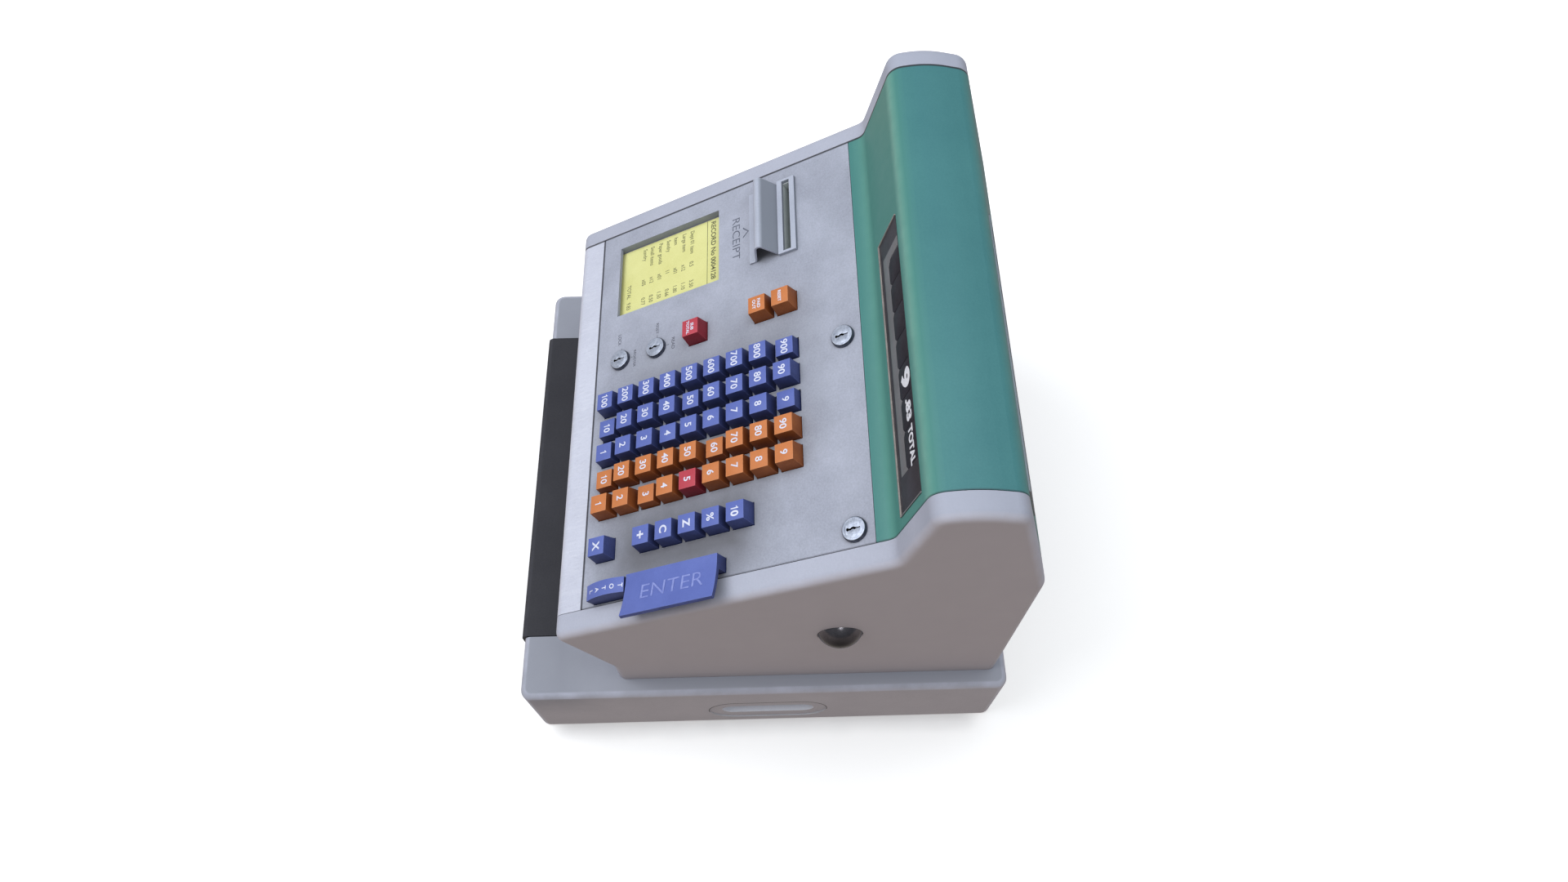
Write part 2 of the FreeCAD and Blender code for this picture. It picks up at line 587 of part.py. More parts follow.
def make_drawer_latch():
    body = new_body("drawer_latch")
    end = "latch_pivot_y + latch_reach"
    low, high = "latch_pivot_z - latch_bar/2", "latch_pivot_z + latch_bar/2"
    outline = new_sketch(body, "YZ_Plane", "latch_x")
    add_polygon(outline, [
        ("latch_pivot_y - latch_heel", low), (end + " - latch_bar", low), (end + " - latch_bar", "latch_tip_z"),
        (end, "latch_tip_z"), (end, high), ("latch_pivot_y - latch_heel", high)])
    pad(body, outline, "latch_width", both_ways=True)
    pin = new_sketch(body, "YZ_Plane", "latch_x")
    add_circle(pin, "latch_pivot_y", "latch_pivot_z", "latch_pin")
    pad(body, pin, "latch_width + 2*latch_side_gap + 2*latch_ear", both_ways=True)


# Body: side covers, rail, hood and back

def body_outline():
    """Corners of the body seen from the right, each with the size that rounds it."""
    return [
        ("body_front_y", "base_top", None), ("body_front_y", "knee_z", "knee_round"),
        ("nose_y", "nose_z", "nose_round"), ("fold_y", "fold_z", "fold_round"),
        ("hood_front_y", "hood_front_z", "hood_round"), ("hood_crown_y", "hood_crown_z", "crown_round"),
        ("hood_back_y", "hood_back_z", "hood_round"), ("body_back_y", "back_bend_z", "bend_round"),
        ("body_back_y", "base_top", None)]


def make_body_block(body, offset, length, backwards=False, both_ways=False):
    """The body's outline drawn out in X, with its corners rounded."""
    outline = new_sketch(body, "YZ_Plane", offset)
    add_polygon(outline, [(y, z) for y, z, radius in body_outline()])
    pad(body, outline, length, backwards, both_ways)
    for radius in ("knee_round", "nose_round", "fold_round", "hood_round", "crown_round", "bend_round"):
        spots = [(size(y), size(z)) for y, z, name in body_outline() if name == radius]
        round_edges(body, radius, lambda edge: runs_along(edge, (1, 0, 0)) and any(
            is_near(edge.CenterOfMass.y, y) and is_near(edge.CenterOfMass.z, z) for y, z in spots))


COVER_INSIDE = "(panel_width/2 + seam_gap)"


def make_side_cover(side):
    sign = -1 if side == "left" else 1
    body = new_body("side_cover_" + side)
    inside = size(COVER_INSIDE) * sign
    outside = size("body_width/2") * sign
    make_body_block(body, ("-" if sign < 0 else "") + COVER_INSIDE, "body_width/2 - " + COVER_INSIDE,
                    backwards=sign < 0)
    base_top = size("base_top")
    round_edges(body, "cover_edge", lambda edge: all_at(edge, lambda p: p.x, outside)
                and not all_at(edge, lambda p: p.z, base_top))
    hollow(body, "cover_wall", lambda face: is_near(face.CenterOfMass.x, inside)
           or is_near(face.CenterOfMass.z, base_top))
    if side == "right":
        hole = new_sketch(body, "YZ_Plane", "body_width/2")
        add_circle(hole, "button_y", "button_z", "button_radius + button_gap")
        pocket(body, hole, "2*cover_wall")


def make_skin():
    """The bent skin between the side covers, before it is parted at its seams."""
    body = doc.addObject("PartDesign::Body", "skin")
    make_body_block(body, "0", "panel_width", both_ways=True)
    base_top, half = size("base_top"), size("panel_width/2")
    hollow(body, "cover_wall", lambda face: is_near(face.CenterOfMass.z, base_top)
           or is_near(abs(face.CenterOfMass.x), half))
    return body


def region(name, width, depth, height, placement):
    """A block that takes one piece out of the skin."""
    block = doc.addObject("Part::Box", name)
    block.Length, block.Width, block.Height = width, depth, height
    block.Placement = placement
    return block


def take(name, skin, blocks):
    piece = doc.addObject("Part::MultiCommon", name)
    piece.Shapes = [skin] + blocks
    return piece


def make_skin_pieces():
    skin = make_skin()
    width, reach = size("body_width"), 2 * size("base_depth")
    gap = size("seam_gap")
    slope = panel_placement()

    def on_slope(name, start, end):
        corner = FreeCAD.Placement(FreeCAD.Vector(-width / 2, start, -reach / 2), FreeCAD.Rotation())
        return region(name, width, end - start, reach, slope.multiply(corner))

    rail = on_slope("rail_region", -reach, -gap)
    keep(take("rail", skin, [rail]), "front_rail")
    bend = size("back_bend_z")
    above = region("above_bend", width, reach, reach, place(-width / 2, -reach / 2, bend + gap / 2))
    hood_region = on_slope("hood_region", size("panel_length") + gap, reach)
    hood = take("hood_skin", skin, [hood_region, above])
    windows = []
    for name, frame in (("front_window", front_slope_placement()), ("rear_window", back_slope_placement())):
        window = box(name, "bezel_width - 2*bezel_gap", "bezel_height - 2*bezel_gap", "8*cover_wall")
        shift = FreeCAD.Vector(bezel_left(name == "rear_window") + size("bezel_gap"),
                               size("bezel_low") + size("bezel_gap"), -4 * size("cover_wall"))
        windows.append(put(window, frame.multiply(FreeCAD.Placement(shift, FreeCAD.Rotation()))))
    keep(cut("hood", hood, join("hood_windows", windows)), "indicator_hood")
    under_bend = place(-width / 2, size("hood_back_y"), bend - gap / 2 - reach)
    below = region("below_bend", width, reach, reach, under_bend)
    keep(take("back", skin, [below]), "back_cover")


# Hood slopes

def slope_frame(low, high, facing_back):
    """X across, Y up the slope from its lower corner, Z out of the hood."""
    rise = math.degrees(math.atan2(high[1] - low[1], high[0] - low[0]))
    lean = FreeCAD.Rotation(FreeCAD.Vector(1, 0, 0), rise)
    if facing_back:
        lean = FreeCAD.Rotation(FreeCAD.Vector(0, 0, 1), 180).multiply(
            FreeCAD.Rotation(FreeCAD.Vector(1, 0, 0), 180 - rise))
    return FreeCAD.Placement(FreeCAD.Vector(0, *low), lean)


def front_slope_placement():
    return slope_frame((size("fold_y"), size("fold_z")), (size("hood_front_y"), size("hood_front_z")), False)


def back_slope_placement():
    top = FreeCAD.Vector(size("hood_back_y"), size("hood_back_z"), 0)
    foot = FreeCAD.Vector(size("body_back_y"), size("back_bend_z"), 0)
    slope_length = (top - foot).Length
    front_length = front_slope_length()
    low = foot + (top - foot) * ((slope_length - front_length) / slope_length)
    return slope_frame((low.x, low.y), (top.x, top.y), True)


def front_slope_length():
    return math.hypot(size("hood_front_z - fold_z"), size("hood_front_y - fold_y"))


def bezel_left(facing_back):
    """Left end of a bezel in its own slope's frame; the rear one is turned about."""
    if facing_back:
        return -size("bezel_x") - size("bezel_width")
    return size("bezel_x")


def make_bezel(label, frame, facing_back):
    body = new_body(label, frame)
    left = bezel_left(facing_back) + 2 * size("bezel_gap")
    tiles_width = "(blank_tiles_width + 3*tile_width + tile_width + end_tile_width)"
    start = size("tiles_x - bezel_x - 2*bezel_gap")
    if facing_back:
        start = size("bezel_width - 4*bezel_gap - %s" % tiles_width) - start
    outline = new_sketch(body, "XY_Plane", "bezel_proud - bezel_thick")
    add_rectangle(outline, "%r" % left, "bezel_low + 2*bezel_gap",
                  "%r + bezel_width - 4*bezel_gap" % left, "bezel_low + bezel_height - 2*bezel_gap")
    pad(body, outline, "bezel_thick")
    view = new_sketch(body, "XY_Plane", "bezel_proud")
    add_rectangle(view, "%r" % (left + start), "tiles_low", "%r + %s" % (left + start, tiles_width),
                  "tiles_low + tiles_height")
    pocket(body, view, "bezel_thick + 1")


# Indicator drums

def drum_axis():
    """Middle of the drums: behind the middle of the tiles, clear of the bezel."""
    middle = size("tiles_low") + size("tiles_height") / 2
    depth = size("bezel_thick") - size("bezel_proud") + size("drum_back_gap") + size("drum_apothem")
    return front_slope_placement().multVec(FreeCAD.Vector(0, middle, -depth))


def make_indicator():
    axis = drum_axis()
    shaft = cylinder("indicator_rod", "indicator_shaft_radius", "2*frame_x + 2*frame_thick", turn=ALONG_X)
    start = FreeCAD.Vector(size("-frame_x - frame_thick"), axis.y, axis.z)
    keep(put(shaft, FreeCAD.Placement(start, ALONG_X)), "indicator_shaft")
    tile, half_tile = size("tile_width"), size("tile_width") / 2
    widths = (tile, tile, tile, half_tile, half_tile, size("end_tile_width"))
    lean = FreeCAD.Rotation(FreeCAD.Vector(1, 0, 0), front_slope_placement().Rotation.toEuler()[2])
    x = size("tiles_x") + size("blank_tiles_width")
    corner = size("drum_apothem") / math.cos(math.pi / DRUM_FACETS)
    for name, width in zip(DRUM_NAMES, widths):
        ring = []
        for i in range(DRUM_FACETS + 1):
            turn = 2 * math.pi * (i + 0.5) / DRUM_FACETS
            ring.append(FreeCAD.Vector(0, corner * math.cos(turn), corner * math.sin(turn)))
        solid = Part.Face(Part.makePolygon(ring)).extrude(FreeCAD.Vector(width - size("drum_gap"), 0, 0))
        bore = Part.makeCylinder(size("indicator_shaft_radius") + size("bearing_gap"), width,
                                 FreeCAD.Vector(), FreeCAD.Vector(1, 0, 0))
        place_at = FreeCAD.Placement(FreeCAD.Vector(x + size("drum_gap") / 2, axis.y, axis.z), lean)
        formed(name, solid.cut(bore), place_at)
        x += width


# Key panel and the plate that guides the key stems

def function_rows():
    """Single keys on the panel: name, place across and place along."""
    along = "first_row + %d*key_pitch"
    right = [("multiply_key", 0), ("plus_key", 2), ("clear_key", 3), ("z_key", 4), ("percent_key", 5),
             ("ten_key", 6)]
    keys = [(name, "function_x", along % row) for name, row in right]
    left = [("subtotal_key", 4), ("paid_out_key", 7), ("reset_key", 8)]
    keys += [(name, "left_keys_x", along % row) for name, row in left]
    return keys


def column_x(column):
    return "cents_x - %d*column_pitch" % (COLUMNS - 1 - column)


def bar_stems():
    """Places of the stems under the TOTAL key and the ENTER bar."""
    return [("total_x + total_width/2", "total_along + total_length/2"),
            ("enter_x + enter_width/2", "enter_along + enter_length/4"),
            ("enter_x + enter_width/2", "enter_along + 3*enter_length/4")]


def add_centred(sketch, x, y, width, length):
    add_rectangle(sketch, "%s - (%s)/2" % (x, width), "%s - (%s)/2" % (y, length),
                  "%s + (%s)/2" % (x, width), "%s + (%s)/2" % (y, length))


def cut_key_rows(body, top, width, length, depth):
    """Openings for the amount keys: one row of five, repeated up the slope."""
    row = new_sketch(body, "XY_Plane", top)
    for column in range(COLUMNS):
        add_centred(row, column_x(column), "first_row", width, length)
    first = pocket(body, row, depth)
    pattern = body.newObject("PartDesign::LinearPattern", body.Name + "_rows")
    pattern.Originals = [first]
    pattern.Direction = (row, ["V_Axis"])
    bind(pattern, Length="%d*key_pitch" % (ROWS - 1))
    pattern.Occurrences = ROWS
    body.Tip = pattern
    doc.recompute()


def lock_places():
    return [("register_lock", "left_keys_x", "register_lock_along"),
            ("reset_lock", "left_keys_x", "reset_lock_along"),
            ("left_cover_lock", "left_cover_lock_x", "cover_lock_along"),
            ("right_cover_lock", "right_cover_lock_x", "cover_lock_along")]


def make_key_panel():
    body = new_body("key_panel", panel_placement())
    plate = new_sketch(body, "XY_Plane", "-panel_thick")
    add_rectangle(plate, "-panel_width/2", "0", "panel_width/2", "panel_length")
    pad(body, plate, "panel_thick")
    pan = new_sketch(body, "XZ_Plane", "-pan_along")
    left, right = "window_x - pan_gap", "window_x + window_width + pan_gap"
    outer_left, outer_right = "window_x - pan_wall - pan_gap", "window_x + window_width + pan_wall + pan_gap"
    rim, floor, under = "-panel_thick + " + str(EPS), "-pan_depth", "-pan_depth - pan_wall"
    add_polygon(pan, [(outer_left, rim), (outer_left, under), (outer_right, under), (outer_right, rim), (right, rim),
                      (right, floor), (left, floor), (left, rim)])
    pad(body, pan, "pan_length", backwards=True)
    opening = "key_base + 2*key_gap"
    cut_key_rows(body, "0", opening, opening, "panel_thick + 1")
    singles = new_sketch(body, "XY_Plane", "0")
    for name, x, along in function_rows():
        add_centred(singles, x, along, opening, opening)
    add_rectangle(singles, "total_x - key_gap", "total_along - key_gap", "total_x + total_width + key_gap",
                  "total_along + total_length + key_gap")
    add_rectangle(singles, "enter_x - key_gap", "enter_along - key_gap", "enter_x + enter_width + key_gap",
                  "enter_along + enter_length + key_gap")
    add_rectangle(singles, "window_x", "window_along", right, "window_along + window_length")
    add_centred(singles, "slot_x + slot_frame_width/2", "slot_frame_along + slot_frame_length/2",
                "slot_width", "panel_slot_length")
    for name, x, along in lock_places():
        add_circle(singles, x, along, "lock_hole")
    pocket(body, singles, "panel_thick + " + str(EPS))


def make_key_guide_plate():
    body = new_body("key_guide_plate", panel_placement())
    plate = new_sketch(body, "XY_Plane", "-guide_depth - guide_thick")
    half = "(frame_x - guide_gap)"
    add_rectangle(plate, "-" + half, "guide_along", half, "guide_along + guide_length")
    pad(body, plate, "guide_thick")
    slots = ("stem_width + 2*stem_gap", "stem_thick + 2*stem_gap")
    cut_key_rows(body, "-guide_depth", slots[0], slots[1], "guide_thick + 1")
    singles = new_sketch(body, "XY_Plane", "-guide_depth")
    for name, x, along in function_rows():
        add_centred(singles, x, along, *slots)
    for x, along in bar_stems():
        add_centred(singles, x, along, *slots)
    add_rectangle(singles, "window_x - 2*pan_wall - 2*pan_gap", "guide_along + pan_wall",
                  "window_x + window_width + 2*pan_wall + 2*pan_gap", "roll_along + 2*roll_radius")
    pocket(body, singles, "guide_thick + 1")


# Keys

def key_stem(name, x, along, drop="0"):
    low = "-stem_reach - " + drop
    return box(name, "stem_width", "stem_thick", "stem_reach - key_sink + " + str(EPS), x + " - stem_width/2",
               along + " - stem_thick/2", low)


def key(name, x, along, drop="0"):
    """A tapered cap on a flat stem, in the panel's frame; a drop stands it lower."""
    cap = doc.addObject("Part::Wedge", name + "_cap")
    cap.Placement = place(angle=90)
    bind(cap, Xmin="-key_base/2", Xmax="key_base/2", Zmin="-key_base/2", Zmax="key_base/2",
         X2min="-key_top/2", X2max="key_top/2", Z2min="-key_top/2", Z2max="key_top/2",
         Ymin="-key_sink - " + drop, Ymax="key_height - " + drop,
         Placement__Base__x=x, Placement__Base__y=along)
    return join(name + "_body", [cap, key_stem(name + "_stem", x, along, drop)])


def make_amount_keys():
    for row in range(ROWS):
        keys = []
        for column in range(COLUMNS):
            drop = LOW_KEYS.get((row + 1, column + 1), "0")
            keys.append(key("amount_%d_%d" % (row + 1, column + 1), column_x(column),
                            "first_row + %d*key_pitch" % row, drop))
        rack = group("digit_%d" % (row + 1), keys)
        rack.Placement = panel_placement()
        keep(rack, "digit_%d_keys" % (row + 1))


def make_function_keys():
    for name, x, along in function_rows():
        piece = key(name, x, along)
        piece.Placement = panel_placement()
        keep(piece, name)


def make_bars():
    stems = []
    for i, (x, along) in enumerate(bar_stems()):
        stems.append(key_stem("bar_stem_%d" % i, x, along))
    low = -size("key_sink")
    front, back = size("total_along"), size("total_along + total_length")
    crown = Part.Arc(FreeCAD.Vector(0, back, size("total_back_height")),
                     FreeCAD.Vector(0, (front + back) / 2, size("total_crown_height")),
                     FreeCAD.Vector(0, front, size("total_front_height"))).toShape()
    rest = Part.makePolygon([FreeCAD.Vector(0, front, size("total_front_height")),
                             FreeCAD.Vector(0, front, low), FreeCAD.Vector(0, back, low),
                             FreeCAD.Vector(0, back, size("total_back_height"))])
    cap = Part.Face(Part.Wire([crown] + rest.Edges)).extrude(FreeCAD.Vector(size("total_width"), 0, 0))
    cap.translate(FreeCAD.Vector(size("total_x"), 0, 0))
    total = doc.addObject("Part::Feature", "total_cap")
    total.Shape = cap
    piece = join("total_body", [total, stems[0]])
    piece.Placement = panel_placement()
    keep(piece, "total_key")

    left, right = size("enter_x"), size("enter_x + enter_width")
    lip = size("enter_x + enter_reach")
    middle = (left + lip) / 2
    thick = size("enter_thick")

    def at(x, above):
        return FreeCAD.Vector(x, 0, above)

    top = Part.Arc(at(left, size("enter_height")), at(middle, size("enter_middle_height")),
                   at(lip, size("enter_lip_height")))
    under_middle = (right + lip) / 2
    top_circle = top.toShape().Curve

    def underside(x):
        return top_circle.Center.z - math.sqrt((top_circle.Radius + thick) ** 2 - (x - top_circle.Center.x) ** 2)

    drop, under_start = underside(under_middle), underside(right)
    outward = (at(lip, size("enter_lip_height")) - top_circle.Center).normalize()
    lip_end = at(lip, size("enter_lip_height")) + outward * thick
    under = Part.Arc(lip_end, at(under_middle, drop), at(right, under_start)).toShape()
    nose = Part.LineSegment(at(lip, size("enter_lip_height")), lip_end).toShape()
    block = Part.makePolygon([at(right, under_start), at(right, low), at(left, low),
                              at(left, size("enter_height"))])
    face = Part.Face(Part.Wire([top.toShape(), nose, under] + block.Edges))
    bar = doc.addObject("Part::Feature", "enter_cap")
    bar.Shape = face.extrude(FreeCAD.Vector(0, size("enter_length"), 0)).translated(
        FreeCAD.Vector(0, size("enter_along"), 0))
    piece = join("enter_body", [bar] + stems[1:])
    piece.Placement = panel_placement()
    keep(piece, "enter_bar")


# Locks

def make_locks():
    rings = []
    for name, x, along in lock_places():
        rim = cylinder(name + "_rim", "lock_radius", "lock_height", x, along)
        bore = cylinder(name + "_bore", "plug_radius + plug_gap", "3*lock_height", x, along, "-lock_height")
        rings.append(cut(name + "_ring", rim, bore))
        body = new_body(name + "_plug", panel_placement())
        barrel = new_sketch(body, "XY_Plane", "-plug_depth")
        add_circle(barrel, x, along, "plug_radius")
        pad(body, barrel, "plug_depth + plug_rise")
        keyway = new_sketch(body, "XY_Plane", "plug_rise")
        add_centred(keyway, x, along, "keyway_width", "keyway_length")
        pocket(body, keyway, "keyway_depth")
    group_of_rings = group("rings", rings)
    group_of_rings.Placement = panel_placement()
    keep(group_of_rings, "lock_rings")


# Journal and receipt

def make_journal():
    half = size("window_width") / 2
    middle = size("window_x") + half
    floor = -size("pan_depth")
    thick, gap = size("paper_thick"), size("paper_gap")
    roll_end = size("roll_along") + size("roll_radius") + gap
    spool_end = size("spool_along") - size("spool_radius") - gap
    top = floor + thick
    path = [(roll_end + thick, -size("roll_depth"), 0), (roll_end + thick, top, size("paper_bend")),
            (spool_end - thick, top, size("paper_bend")), (spool_end - thick, -size("roll_depth"), 0)]
    sheet_of_paper = bent_sheet(path, -thick, middle - half + gap, middle + half - gap)
    formed("journal_paper", sheet_of_paper, panel_placement())
    for label, along, radius in (("journal_roll", "roll_along", "roll_radius"),
                                 ("takeup_spool", "spool_along", "spool_radius")):
        reel = cylinder(label + "_reel", radius, "window_width - 2*paper_gap", "window_x + paper_gap", along,
                        "-roll_depth", ALONG_X)
        spindle = cylinder(label + "_spindle", "spindle_radius", "frame_x + frame_thick + window_x + window_width",
                           "-frame_x - frame_thick", along, "-roll_depth", ALONG_X)
        piece = join(label + "_body", [reel, spindle])
        piece.Placement = panel_placement()
        keep(piece, label)


def make_receipt_guide():
    left, right = size("slot_x"), size("slot_x + slot_frame_width")
    start, end = size("slot_frame_along"), size("slot_frame_along + slot_frame_length")
    height, thick = size("slot_frame_height"), size("guide_sheet")
    plate = Part.makeBox(right - left, end - start, height, FreeCAD.Vector(left, start, 0))
    slot = Part.makeBox(size("slot_width"), size("slot_length"), 3 * height,
                        FreeCAD.Vector((left + right - size("slot_width")) / 2,
                                       (start + end - size("slot_length")) / 2, -height))
    path = [(size("guide_foot_along"), thick, 0), (size("guide_leg_along"), thick, thick),
            (size("guide_ridge_along"), size("guide_ridge_height"), size("guide_ridge_round")),
            (start - thick / 2, thick, thick / 2), (start + thick, thick, 0)]
    tent = bent_sheet(path, thick, left + size("guide_inset"), right - size("guide_inset"))
    formed("receipt_guide", plate.cut(slot).fuse(tent).removeSplitter(), panel_placement())


# Release button

def make_release_button():
    dome_radius = "((button_radius^2 + button_dome^2)/(2*button_dome))"
    start_angle = math.degrees(math.asin(1 - size("button_dome") / size(dome_radius)))
    dome = doc.addObject("Part::Sphere", "button_dome")
    dome.Placement = FreeCAD.Placement(FreeCAD.Vector(), ALONG_X)
    dome.Angle1 = start_angle
    bind(dome, Radius=dome_radius, Placement__Base__x="body_width/2 + button_dome - %s" % dome_radius,
         Placement__Base__y="button_y", Placement__Base__z="button_z")
    skirt = cylinder("button_skirt", "button_radius", "button_skirt + %r" % EPS, "body_width/2 - button_skirt",
                     "button_y", "button_z", ALONG_X)
    stem = cylinder("button_stem", "button_stem", "button_stem_reach", "body_width/2 - button_stem_reach",
                    "button_y", "button_z", ALONG_X)
    keep(join("button", [dome, skirt, stem]), "release_button")


# Frame plates and drive

def panel_hole_places():
    """Spindle bearings in the left frame plate."""
    return [panel_point(0, size(along), -size("roll_depth")) for along in ("roll_along", "spool_along")]


def make_frame(side):
    body = new_body("frame_" + side)
    sign = "-" if side == "left" else ""
    inset = " - frame_inset/cos(panel_slope)"
    step_z = "panel_front_z + (frame_step_y - panel_front_y)*tan(panel_slope)" + inset
    outline = new_sketch(body, "YZ_Plane", sign + "frame_x")
    add_polygon(outline, [
        ("body_front_y + frame_margin", "base_top"), ("body_back_y - frame_margin", "base_top"),
        ("body_back_y - frame_margin", "back_bend_z"),
        ("hood_back_y - frame_margin/2", "hood_back_z - frame_margin"),
        ("hood_front_y + frame_margin", "hood_back_z - frame_margin"), ("frame_step_y", step_z),
        ("nose_y + 2*frame_margin", "nose_z + frame_margin*tan(panel_slope)" + inset),
        ("body_front_y + frame_margin", "knee_z + frame_margin/2")])
    pad(body, outline, "frame_thick", backwards=side == "left")
    bores = new_sketch(body, "YZ_Plane", sign + "frame_x")
    add_circle(bores, "shaft_y", "shaft_z", "shaft_radius + bearing_gap")
    axis = drum_axis()
    add_circle(bores, "%r" % axis.y, "%r" % axis.z, "indicator_shaft_radius + bearing_gap")
    if side == "left":
        for point in panel_hole_places():
            add_circle(bores, "%r" % point.y, "%r" % point.z, "spindle_radius + bearing_gap")
    else:
        add_circle(bores, "button_y", "button_z", "button_stem + bearing_gap")
    pocket(body, bores, "2*frame_thick", backwards=side == "right")


# tooth reach below and above the pitch circle in modules, and half widths as shares of the tooth pitch
TOOTH_ROOT, TOOTH_TIP = 1.25, 0.9
TOOTH_FOOT_HALF, TOOTH_TIP_HALF = 0.30, 0.10
ACROSS = FreeCAD.Vector(1, 0, 0)


def toothed_wheel(teeth, phase):
    """A gear outline: straight-flanked teeth on the pitch circle, in the YZ plane."""
    module = size("gear_module")
    pitch = teeth * module / 2
    root, tip = pitch - TOOTH_ROOT * module, pitch + TOOTH_TIP * module
    step = 2 * math.pi / teeth
    points = []
    for i in range(teeth):
        middle = phase + i * step
        foot_half, tip_half = TOOTH_FOOT_HALF * step, TOOTH_TIP_HALF * step
        points += [(root, middle - foot_half), (tip, middle - tip_half),
                   (tip, middle + tip_half), (root, middle + foot_half)]
    ring = [FreeCAD.Vector(0, r * math.cos(turn), r * math.sin(turn)) for r, turn in points]
    return Part.Face(Part.makePolygon(ring + ring[:1])).extrude(FreeCAD.Vector(size("gear_width"), 0, 0))


def motor_axis():
    """The motor's axis: below the main shaft, at the gears' centre distance."""
    distance = size("(gear_teeth + pinion_teeth)*gear_module/2 + mesh_slack")
    drop = size("motor_drop")
    run = math.sqrt(distance ** 2 - drop ** 2)
    return size("shaft_y") + run, size("shaft_z") - drop


def make_drive():
    motor_y, motor_z = motor_axis()
    towards = math.atan2(motor_z - size("shaft_z"), motor_y - size("shaft_y"))
    half_step = math.pi / size("gear_teeth")
    gear = toothed_wheel(int(size("gear_teeth")), towards + half_step)
    gear.translate(FreeCAD.Vector(size("gear_x"), 0, 0))
    reach = size("frame_x") + size("frame_thick")
    axle = Part.makeCylinder(size("shaft_radius"), 2 * reach, FreeCAD.Vector(-reach, 0, 0), ACROSS)
    shaft = axle.fuse(gear)
    for i in range(CAM_COUNT):
        start = size("gear_x") + size("gear_width") + (i + 1) * size("cam_pitch")
        cam = Part.makeCylinder(size("cam_radius"), size("cam_width"), FreeCAD.Vector(start, 0, 0), ACROSS)
        shaft = shaft.fuse(cam)
    formed("main_shaft", shaft.removeSplitter(), place(0, size("shaft_y"), size("shaft_z")))

    end = size("gear_x") - size("motor_end_gap")
    axle_radius = size("motor_shaft_radius")
    pinion = toothed_wheel(int(size("pinion_teeth")), towards + math.pi)
    axle = Part.makeCylinder(axle_radius, size("gear_width") + size("motor_end_gap") + size("motor_shaft_reach"),
                             FreeCAD.Vector(-size("motor_end_gap") - size("motor_shaft_reach"), 0, 0),
                             FreeCAD.Vector(1, 0, 0))
    formed("motor_pinion", pinion.fuse(axle).removeSplitter(), place(size("gear_x"), motor_y, motor_z))

    length = size("motor_length")
    can = Part.makeCylinder(size("motor_radius"), length, FreeCAD.Vector(end - length, motor_y, motor_z),
                            FreeCAD.Vector(1, 0, 0))
    foot = Part.makeBox(length, size("motor_foot_width"), motor_z - size("base_top"),
                        FreeCAD.Vector(end - length, motor_y - size("motor_foot_width") / 2, size("base_top")))
    bore = Part.makeCylinder(axle_radius + size("bearing_gap"), size("motor_shaft_reach") + 1,
                             FreeCAD.Vector(end - size("motor_shaft_reach") - 1, motor_y, motor_z),
                             FreeCAD.Vector(1, 0, 0))
    formed("drive_motor", can.fuse(foot).cut(bore).removeSplitter())


def check_and_export():
    doc.recompute()
    for thing in doc.Objects:
        if "Invalid" in thing.State or "Error" in thing.State:
            raise RuntimeError("%s failed: %s" % (thing.Label, thing.State))
    for piece in subparts:
        if piece.Shape.isNull() or not piece.Shape.isValid() or not piece.Shape.Solids:
            raise RuntimeError("%s has no valid solid" % piece.Label)
    os.makedirs("parts", exist_ok=True)
    for piece in subparts:
        piece.Shape.exportStep("parts/%s.step" % piece.Label)
    print("sub-parts:", len(subparts))


make_base_shell()
make_base_plate()
make_feet_and_screws()
make_drawer_runners()
make_drawer_box()
make_drawer_front()
make_till_tray()
make_drawer_latch()
make_side_cover("left")
make_side_cover("right")
make_skin_pieces()
make_bezel("indicator_bezel", front_slope_placement(), False)
make_bezel("customer_bezel", back_slope_placement(), True)
make_indicator()
make_key_panel()
make_key_guide_plate()
make_amount_keys()
make_function_keys()
make_bars()
make_locks()
make_journal()
make_receipt_guide()
make_release_button()
make_frame("left")
make_frame("right")
make_drive()
check_and_export()
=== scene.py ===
"""Looks of the mechanical cash register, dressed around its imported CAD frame.

Shapes are in millimetres; shader values, light and camera are in metres. "Panel" places are (across,
along, above): across is X, along runs up the keyboard's slope from its front edge, above is square to its
face. "Hood" places are the same on the hood's slopes.
"""
import bpy
import bmesh
import json
from math import atan2, cos, degrees, hypot, pi, radians, sin, sqrt
from mathutils import Matrix, Vector

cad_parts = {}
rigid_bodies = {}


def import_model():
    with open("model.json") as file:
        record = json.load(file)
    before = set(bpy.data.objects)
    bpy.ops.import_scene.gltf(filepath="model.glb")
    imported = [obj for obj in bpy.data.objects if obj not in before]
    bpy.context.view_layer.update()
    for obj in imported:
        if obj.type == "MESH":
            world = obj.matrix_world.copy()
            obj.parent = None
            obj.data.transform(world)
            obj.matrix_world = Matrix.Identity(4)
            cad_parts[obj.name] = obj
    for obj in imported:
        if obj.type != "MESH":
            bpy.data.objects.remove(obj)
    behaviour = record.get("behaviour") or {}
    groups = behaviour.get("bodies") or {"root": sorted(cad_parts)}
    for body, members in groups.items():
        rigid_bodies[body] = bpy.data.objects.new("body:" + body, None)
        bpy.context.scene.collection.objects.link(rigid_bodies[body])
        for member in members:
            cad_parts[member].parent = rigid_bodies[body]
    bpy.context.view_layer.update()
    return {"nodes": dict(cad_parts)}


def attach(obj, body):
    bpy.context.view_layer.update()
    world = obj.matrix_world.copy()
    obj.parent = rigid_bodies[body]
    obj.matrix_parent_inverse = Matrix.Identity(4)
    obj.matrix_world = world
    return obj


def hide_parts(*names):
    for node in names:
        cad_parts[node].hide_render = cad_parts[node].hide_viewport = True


for leftover in list(bpy.data.objects):
    bpy.data.objects.remove(leftover)
